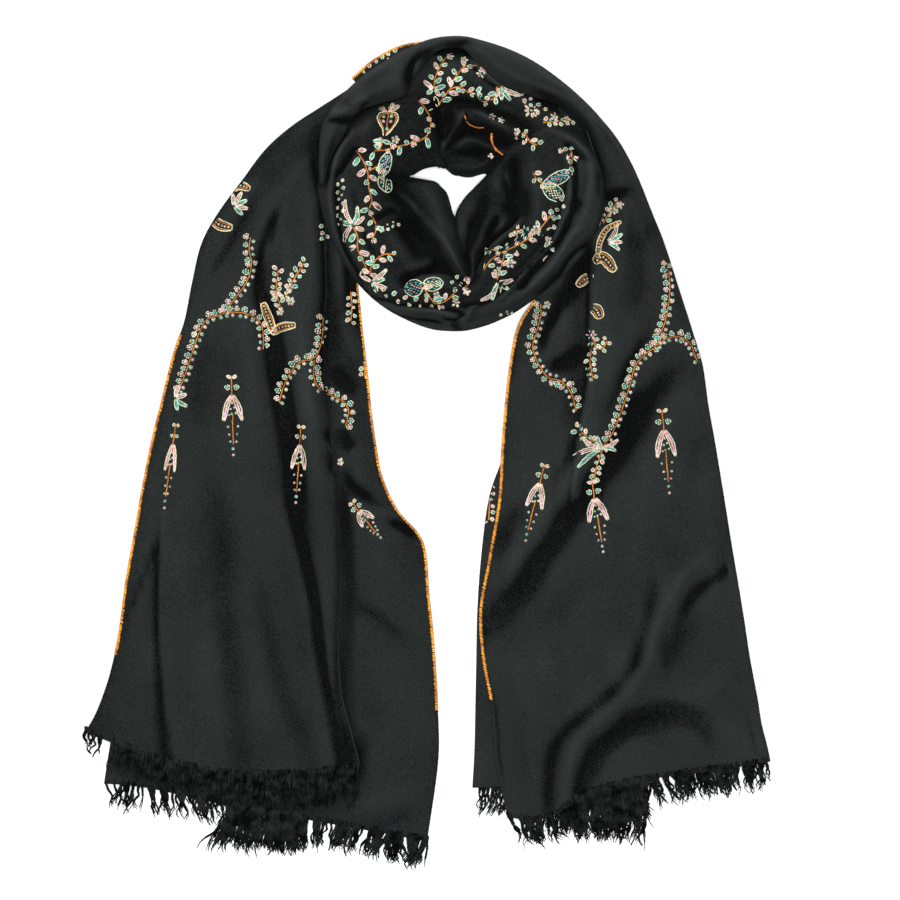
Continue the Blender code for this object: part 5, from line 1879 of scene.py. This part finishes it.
    def garland(self, path: Path, side: int) -> None:
        """A tail vine: blooms along one side of its stem and seeds along the other.

        Args:
            path: the stem.
            side: 1 or -1, the blooms' side.
        """
        self.run(Thread.ORANGE, path, 1.25, 3.2)
        line = curve_of(path, self.BLOOM_SPACING / 2)
        along = np.gradient(line, axis=0)
        for k, (place, run) in enumerate(zip(line, along)):
            outer = k % 2 == 0
            angle = math.degrees(math.atan2(run[1], run[0])) + 90 * side * (1 if outer else -1)
            turn = angle + self.source.uniform(-14, 14)
            big = outer or self.source.random() < 0.2
            size = (self.BLOOM if outer else 0.72 * self.BLOOM) * self.source.uniform(0.85, 1.12)
            spot = toward(place, turn, size / 2 + self.source.uniform(0.4, 1.3))
            fill = self.SEEDS[(k // 2 + (not outer)) % 2]
            if big:
                self.floret(spot, angle + self.source.uniform(-20, 20), size, fill)
            else:
                self.dot(spot, 0.62 * self.BLOOM, fill)

    def vine(self, path: Path, spacing: float, length: float) -> None:
        """A vine: leaves on both sides of its stem, pink and teal by turns.

        Args:
            path: the stem.
            spacing: from one leaf to the next on its side, in steps.
            length: of a leaf, in steps.
        """
        if length > self.STEMLESS:
            self.run(Thread.ORANGE, path, 1.5, 3.2)
        line = curve_of(path, spacing / 2)
        along = np.gradient(line, axis=0)
        for k, (place, run) in enumerate(zip(line, along)):
            side = 1 if k % 2 else -1
            angle = math.degrees(math.atan2(run[1], run[0]))
            angle += side * (self.SPREAD + self.source.uniform(-14, 14))
            near = toward(place, angle, 2.0)
            size = length * self.source.uniform(0.72, 1.12)
            fill = self.SEEDS[(k // 2 + k) % 2]
            if self.source.random() < 0.25:
                self.floret(near, angle, size * 0.75, fill)
            else:
                self.leaf(near, angle, size, 2.0 + 0.27 * size, fill)


# Spacing of the leaves, their length, then x and y of the stem's points.
VINES = (
    (14, 8.5, 418, 101, 425, 109, 430, 119, 430, 128, 427, 136, 418, 142, 400, 147, 386, 151, 375, 152),
    (14, 8.5, 357, 152, 363, 161, 368, 174, 369, 188, 372, 201, 370, 209),
    (9, 5.5, 370, 172, 377, 168, 384, 170),
    (13, 8.5, 354, 228, 358, 238, 358, 250, 363, 260, 369, 274),
    (11, 7, 371, 274, 372, 266, 378, 259, 384, 255, 393, 255),
    (13, 7.5, 369, 214, 375, 222, 376, 231, 373, 240),
    (14, 8, 424, 288, 431, 299, 438, 304, 450, 298, 458, 290, 468, 286),
    (10, 7.6, 484, 271, 490, 262, 500, 254, 512, 249, 524, 242, 534, 234, 543, 226, 551, 215),
    (9, 7, 532, 236, 523, 231, 514, 231),
    (10, 7, 497, 280, 501, 266, 505, 253),
    (9, 6.5, 500, 254, 493, 250, 488, 250),
    (10, 7, 545, 239, 548, 246, 549, 254),
    (8, 5.5, 533, 174, 537, 181, 545, 186),
    (9, 6.5, 435, 90, 435, 80, 439, 70, 445, 59),
    (12, 8, 439, 107, 442, 99, 450, 90, 454, 81, 463, 69, 471, 66, 480, 67),
    (10, 7, 450, 90, 460, 88, 467, 93, 476, 95),
    (10, 6.5, 497, 88, 495, 97, 489, 102, 482, 102),
    (9, 6.5, 519, 140, 524, 133, 530, 142, 537, 146),
    (10, 7, 561, 154, 564, 149, 570, 151, 572, 159, 569, 166),
    (12, 4.4, 380, 292, 396, 298, 412, 302, 442, 305),
    (11, 4.4, 562, 204, 557, 215, 549, 229),
    (9, 4.4, 512, 90, 522, 97, 533, 106, 542, 112),
    (9, 4, 446, 280, 454, 280, 463, 282),
    (8, 3.4, 341, 179, 341, 200, 340, 222),
    (5.5, 2.6, 377, 233, 386, 228, 395, 223),
    (6, 5, 280, 306, 276, 290, 278, 270),
    (6, 5, 284, 300, 292, 282, 304, 263),
    (6, 4.5, 594, 338, 597, 348, 604, 347, 607, 341),
    (6, 4.5, 592, 350, 591, 362, 593, 378),
    (6, 4.5, 489, 480, 490, 500, 489, 520),
    (6, 5.5, 603, 447, 593, 441, 584, 434, 577, 429),
    (6, 5, 604, 447, 600, 458, 597, 468, 595, 480),
    (6, 4.5, 604, 222, 610, 212, 617, 203),
    (7, 4, 323, 219, 324, 227, 324, 236),
    (7, 4.5, 350, 291, 351, 305, 350, 320),
    (7, 4.5, 363, 361, 364, 368, 364, 376),
    (6, 4, 500, 316, 507, 315, 514, 313),
    (6, 4.5, 543, 123, 556, 122, 570, 120),
    (7, 4.4, 364, 72, 380, 60, 398, 51),
)
# The side of the blooms, then x and y of the stem's points.
GARLANDS = (
    (1, 250, 237, 249, 250, 251, 263, 246, 281, 236, 296, 222, 313, 206, 319, 197, 335),
    (1, 197, 335, 190, 355, 184, 374, 177, 392),
    (-1, 222, 313, 236, 312, 250, 315, 259, 322, 262, 335, 262, 349),
    (1, 322, 317, 321, 335, 318, 350, 312, 359, 302, 361, 292, 370, 284, 383, 278, 402),
    (-1, 314, 360, 313, 375, 318, 388, 330, 395, 342, 401, 348, 411, 345, 426),
    (1, 541, 303, 541, 315, 537, 331, 533, 346, 538, 362, 548, 377, 559, 380, 568, 386),
    (-1, 568, 386, 573, 396, 577, 410),
    (1, 667, 262, 670, 285, 668, 310, 663, 329, 657, 345, 645, 355, 636, 366, 632, 381),
    (1, 632, 381, 627, 396, 620, 416, 612, 435, 603, 447),
    (-1, 655, 347, 668, 338, 682, 337, 692, 345, 697, 358, 701, 362),
)
# x and y of the top and of the tip, size.
PENDANTS = (
    (231, 376, 233, 455, 1),
    (301, 426, 295, 503, 0.75),
    (663, 410, 670, 493, 1),
    (545, 465, 526, 541, 0.85),
    (593, 482, 604, 552, 1),
    (175, 424, 163, 508, 0.55),
    (352, 503, 380, 538, 0.8),
)
# Width, then x and y of the pod's middle line.
PODS = (
    (8.5, 228, 190, 238, 184, 249, 188),
    (10, 210, 217, 219, 224, 231, 227),
    (8.5, 262, 302, 267, 316, 273, 333),
    (8.5, 271, 333, 280, 327, 295, 325),
    (11, 595, 262, 603, 257, 615, 271),
    (9, 578, 285, 586, 278, 594, 276),
    (11, 592, 306, 597, 310, 601, 318),
    (5.5, 621, 222, 608, 228, 601, 240, 598, 257),
)
# The root, then angle, length and bend of each petal.
PALMETTES = (
    ((353, 226), ((-106, 26, -3), (-75, 19, 2), (-36, 14, 1), (-164, 13, 0), (117, 18, 2))),
    ((498, 283), ((135, 25, -4), (109, 18, 1), (-12, 15, 1), (35, 12, 0), (80, 10, 0))),
    ((372, 282), ((-39, 19, 1), (-12, 13, 0), (22, 16, 1), (63, 11, 0), (-150, 13, 0))),
    ((601, 448), ((163, 28, 2), (140, 30, 1), (-25, 20, 2), (10, 16, -2), (-150, 20, -3), (-110, 12, 0))),
    ((174, 398), ((-20, 12, 0), (35, 14, 1), (-70, 14, -1), (80, 12, 0))),
    ((434, 90), ((-140, 13, 0), (-15, 12, 0), (45, 9, 0), (150, 8, 0))),
    ((500, 88), ((114, 11, 0), (82, 13, 0), (24, 22, 1), (52, 17, 0))),
    ((233, 205), ((-60, 16, 0), (-25, 14, 0), (10, 14, 0), (45, 12, 0), (-95, 12, 0))),
    ((608, 242), ((-60, 20, 2), (-30, 16, 1), (0, 14, 0), (35, 14, -1))),
)
# The body, then x and y of each wing's tip and its width.
BUTTERFLIES = (
    ((381, 176), ((389, 155, 12), (388, 191, 13))),
    ((543, 187), ((570, 173, 12), (562, 200, 15))),
    ((423, 286), ((407, 291, 16), (442, 284, 13))),
)
# x, y, radius and petals.
ROSETTES = (
    (531, 112, 8.5, 8), (481, 75, 5.5, 6), (464, 61, 4.2, 5), (450, 57, 4.2, 5), (275, 294, 5, 6),
    (289, 287, 5, 6), (290, 301, 5, 6), (280, 311, 4.6, 6), (554, 117, 4.4, 5), (567, 119, 4.4, 5),
    (492, 117, 4, 5), (501, 121, 4, 5), (517, 132, 4.2, 5), (491, 156, 3.4, 4), (510, 264, 6, 6),
    (536, 231, 5.5, 6), (549, 242, 4.6, 5), (517, 234, 4.8, 5), (456, 303, 5, 5), (467, 292, 4.4, 5),
    (437, 296, 4, 5), (380, 143, 4.8, 5), (396, 141, 4.8, 5), (498, 273, 4.6, 5), (592, 335, 6, 6),
    (613, 210, 5.5, 6), (620, 205, 4.5, 5), (340, 462, 4, 5), (548, 304, 4, 5),
)


class Embroidery:
    """Where the motifs lie on the laid shawl."""

    RING = ("shawl_loop", "shawl_nape")
    TAILS = ("shawl_left_tail", "shawl_right_tail", "shawl_right_layers")

    def work(self, needle: Needle) -> None:
        """Work every motif.

        Args:
            needle: works the stitches.
        """
        for spacing, length, *flat in VINES:
            path = pairs(flat)
            self.choose(needle, path[1])
            needle.vine(path, spacing, length)
        needle.cloths = self.RING
        for body, wings in BUTTERFLIES:
            needle.butterfly(body, wings)
        self.pomegranate(needle)
        self.nape_edges(needle)
        needle.cloths = self.TAILS
        for side, *flat in GARLANDS:
            needle.garland(pairs(flat), side)
        for *flat, size in PENDANTS:
            needle.pendant(*pairs(flat), size)
        for width, *flat in PODS:
            needle.pod(pairs(flat), width)
        for at, petals in PALMETTES:
            self.choose(needle, at)
            needle.palmette(at, petals)
        for x, y, radius, petals in ROSETTES:
            self.choose(needle, (x, y))
            needle.rosette((x, y), radius, petals)

    def choose(self, needle: Needle, at: Spot) -> None:
        """Let the needle work on the cloth that lies at a plan point only."""
        place = Plan.place(np.array((*at, 0.0)))
        owner = needle.drape.under(place[0], place[1])[2]
        needle.cloths = self.RING if owner in self.RING else (owner,) if owner != "floor" else ()

    def pomegranate(self, needle: Needle) -> None:
        """The fruit over the left vine: two outlines, a crown of leaves and its seeds.

        Args:
            needle: what sews it.
        """
        middle, crown, tip = 388.0, 113.0, 137.0
        outlines = ((Thread.CREAM, 10.4, 0, 0, 1.4), (Thread.ORANGE, 8.4, 1.6, -2.5, 1.5))
        for thread, half, top, bottom, width in outlines:
            for sign in (-1, 1):
                side = [(middle, crown + top), (middle + sign * half * 0.8, crown + top + 1.5)]
                side += [(middle + sign * half, crown + 8), (middle + sign * half * 0.55, crown + 16)]
                side.append((middle - 3 + sign * 1.5, tip + bottom))
                needle.run(thread, side, width)
        stem = [(middle + 1, crown - 11), (middle + 1, crown), (middle - 1, crown + 15)]
        needle.run(Thread.ORANGE, stem, 1.4)
        for sign in (-1, 1):
            needle.leaf((middle + sign * 1.5, crown - 1), -90 + sign * 64, 11, 4.4, Thread.PINK)
            needle.leaf((middle + sign * 3.0, crown - 3), -90 + sign * 30, 6, 3.4, Thread.CREAM)
        for dx, dy, fill in ((-4, 5, 1), (4, 5, 1), (-4, 10, 0), (3, 10, 0)):
            needle.dot((middle + dx, crown + dy), 3.6, needle.SEEDS[fill])
        needle.dot((middle - 1, crown + 17), 3.8, Thread.TEAL)
        needle.run(Thread.ORANGE, [(middle - 6, tip + 2), (middle - 6, tip + 8), (middle - 8, tip + 14)], 1.5)
        needle.leaf((middle - 6, tip + 5), 175, 8, 3.6, Thread.TEAL)
        needle.leaf((middle - 5, tip + 5), 20, 8, 3.6, Thread.TEAL)

    def nape_edges(self, needle: Needle) -> None:
        """The bits of stitched edge that show deep in the loop."""
        needle.run(Thread.ORANGE, [(464, 115), (468, 122), (475, 126), (484, 127)], 2.2, 2.2)
        needle.run(Thread.ORANGE, [(492, 130), (492, 141), (495, 148), (503, 154)], 2.6, 2.2)


# ---- Studio ----


@dataclass
class Studio:
    """A pale floor, soft light from above and a camera that looks straight down.

    Attributes:
        height: of the camera above the floor, in metres.
        middle: plan point under the camera.
        frame: plan steps across the view.
        sensor: width of the camera's sensor, in millimetres.
    """

    height: float = 2.6
    middle: tuple[float, float] = (450.0, 450.0)
    frame: float = 900.0
    sensor: float = 36.0

    FOCUS = 0.02

    def camera(self) -> None:
        """Place the camera."""
        x, y, _ = Plan.place((*self.middle, 0.0))
        data = bpy.data.cameras.new("camera")
        data.sensor_width = self.sensor
        data.lens = self.sensor * (self.height - self.FOCUS) / (self.frame * Plan.STEP)
        made = bpy.data.objects.new("camera", data)
        made.location = (x, y, self.height)
        bpy.context.scene.collection.objects.link(made)
        bpy.context.scene.camera = made

    def floor(self) -> None:
        """Lay the floor."""
        half = 6.0
        points = np.array([(-half, -half, 0), (half, -half, 0), (half, half, 0), (-half, half, 0)])
        paper, tree = start_material("floor_paper")
        shader = tree.nodes["Principled BSDF"]
        shader.inputs["Base Color"].default_value = (0.9, 0.9, 0.9, 1.0)
        shader.inputs["Roughness"].default_value = 0.9
        shader.inputs["Specular IOR Level"].default_value = 0.1
        made = ShellMesh.add("floor", points, np.array([(0, 1, 2, 3)]), paper)

    def lamp(self, name: str, place: tuple[float, float, float], size: float, power: float) -> None:
        """Hang a soft square lamp that points at the shawl's middle.

        Args:
            name: the lamp's name.
            place: where it hangs, in metres.
            size: its side, in metres.
            power: in watts.
        """
        data = bpy.data.lights.new(name, "AREA")
        data.size = size
        data.energy = power
        made = bpy.data.objects.new(name, data)
        made.location = place
        made.rotation_euler = (Vector((0, 0, 0)) - Vector(place)).to_track_quat("-Z", "Y").to_euler()
        bpy.context.scene.collection.objects.link(made)

    def light(self) -> None:
        """Set the sky and the lamps."""
        world = bpy.data.worlds.new("studio")
        bpy.context.scene.world = world
        world.use_nodes = True
        sky = world.node_tree.nodes["Background"]
        sky.inputs["Color"].default_value = (1.0, 1.0, 1.0, 1.0)
        sky.inputs["Strength"].default_value = 0.14
        self.lamp("key", (-2.0, 1.9, 1.9), 0.9, 66.0)
        self.lamp("top", (0.2, -0.2, 3.2), 1.6, 130.0)
        bpy.context.scene.view_settings.view_transform = "Standard"

    def build(self) -> None:
        """Set up the whole studio."""
        self.camera()
        self.floor()
        self.light()


# ---- The shawl ----


def lay(sheet: Sheet, material: Material, nodes: tuple[str, ...]) -> Sheet:
    """Make a piece of cloth, let it ride, hide the solids that it stands for and log its faces and its size
    flat.

    Args:
        sheet: the cloth.
        material: its finish.
        nodes: the solids that it stands for.

    Returns:
        The same sheet.
    """
    made = sheet.build(material)
    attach(made, "root")
    if nodes:
        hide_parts(*nodes)
    width, length = sheet.size()
    faces = len(made.data.polygons)
    LOG.info("%s: %d faces, %.0f x %.0f mm flat", sheet.name, faces, width / MM, length / MM)
    return sheet


def stretch_of(sheet: Sheet, column: int, top: float, bottom: float, first: int = 0) -> slice:
    """Rows of a sheet's edge between two plan heights.

    Args:
        sheet: the cloth.
        column: the edge, 0 or -1.
        top: plan y where the stretch starts.
        bottom: plan y where it ends.
        first: rows to leave out before it.

    Returns:
        The rows.
    """
    y = sheet.grid[first:, column, 1]
    rows = np.flatnonzero((y >= top) & (y <= bottom)) + first
    return slice(int(rows[0]), int(rows[-1]) + 1)


def add_thread_piece(work: Stitchwork, name: str, material: Material) -> None:
    """Make one mesh of stitches and let it ride."""
    made = work.build(name, material)
    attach(made, "root")
    LOG.info("%s: %d stitches", name, len(work.starts))


# How the right front locks grow longer and closer over the folds under the hem.
HEAPED = ((0, 1.0), (0.25, 0.95), (0.3, 1.55), (0.5, 1.6), (0.58, 1.0), (1, 0.95))


def main() -> None:
    """Build the shawl and its studio, one sub-assembly after another."""
    logging.basicConfig(level=logging.INFO, format="%(name)s: %(message)s")
    Studio().build()
    nap = build_noises("nap", ("Patch", 14.0, 4.0, "Patches"), ("Fibre", 800.0, 3.0, "Fibres"))
    twist = build_noises("twist", ("Plies", 2600.0, 1.0, "Height"), ("Shade", 120.0, 2.0, "Shades"))
    effects = Effects(build_twill(), nap, twist)
    wool = WoolFinish("wool", tone(4, 4, 4), tone(43, 48, 47)).material(effects)
    yarn = ThreadFinish("fringe_yarn", tone(5, 6, 6), tone(33, 37, 36), 0.95, 0.04, 0.0).material(effects)
    threads = {
        Thread.CREAM: ThreadFinish("thread_cream", tone(178, 182, 146), tone(228, 227, 190)),
        Thread.PINK: ThreadFinish("thread_pink", tone(196, 130, 148), tone(230, 178, 192)),
        Thread.TEAL: ThreadFinish("thread_teal", tone(32, 134, 132), tone(88, 192, 184)),
        Thread.ORANGE: ThreadFinish("thread_orange", tone(154, 82, 12), tone(212, 128, 24)),
        Thread.GOLD: ThreadFinish("thread_gold", tone(150, 98, 34), tone(206, 156, 80)),
    }
    edge_thread = ThreadFinish("thread_edging", tone(180, 102, 6), tone(246, 166, 28)).material(effects)
    left, right, loop = LeftTail(), RightTail(), Loop()
    left_sheet = lay(left.sheet(), wool, ("tail_left",))
    under_sheet = lay(right.under_sheet(), wool, ())
    right_sheet = lay(right.sheet(), wool, ("tail_right", "nape_over"))
    band = lay(loop.band(), wool, ("loop_left", "loop_front", "loop_right"))
    nape = lay(loop.nape(), wool, ("nape_inner",))
    crescent = lay(loop.crescent(), wool, ("nape_under",))
    sheets = [left_sheet, under_sheet, right_sheet, band, nape, crescent]
    drape = Drape(sheets)
    top = sum(left.counts[:6])
    middle = left_sheet.grid[-1, sum(left.counts[:8]) : sum(left.counts[:10]) + 1][::-1]
    back = left_sheet.grid[-1, sum(left.counts[:13]) :]
    behind = under_sheet.grid[-1, : sum(right.under_counts[4:])]
    hems = (
        ("left_front", left_sheet.grid[-1, :top], 0.85, 26, 38, 3, ((0, 0.7), (0.5, 1.2), (1, 1.2))),
        ("left_middle", middle, 0.6, 24, 34, 4, ((0, 1), (1, 1))),
        ("left_back", back, 1.5, 24, 31, 5, ((0, 1.75), (0.35, 1.4), (0.45, 1.0), (1, 1.15))),
        ("right_front", right_sheet.grid[-1, :-2], 1.2, 24, 36, 6, HEAPED),
        ("right_back", behind, 0.9, 28, 34, 7, ((0, 1.5), (0.5, 1.4), (0.7, 1.1), (1, 0.95))),
    )
    for name, spine, *sizes in hems:
        Fringe(name, *sizes).build(spine, drape, yarn)
    edges = Stitchwork()
    for sheet, column, stretch, seed in (
        (left_sheet, 0, stretch_of(left_sheet, 0, 334, 655), 11),
        (left_sheet, -1, stretch_of(left_sheet, -1, 272, 715), 12),
        (right_sheet, 0, stretch_of(right_sheet, 0, 300, 701, 150), 13),
        (crescent, 0, slice(None), 14),
    ):
        Edging().along(edges, sheet, column, stretch, seed)
    add_thread_piece(edges, "edging_stitches", edge_thread)
    needle = Needle(drape, random.Random(5), {thread: Stitchwork() for thread in Thread})
    Embroidery().work(needle)
    for thread, work in needle.work.items():
        add_thread_piece(work, f"embroidery_{thread.value}", threads[thread].material(effects))


if __name__ == "__main__":
    main()
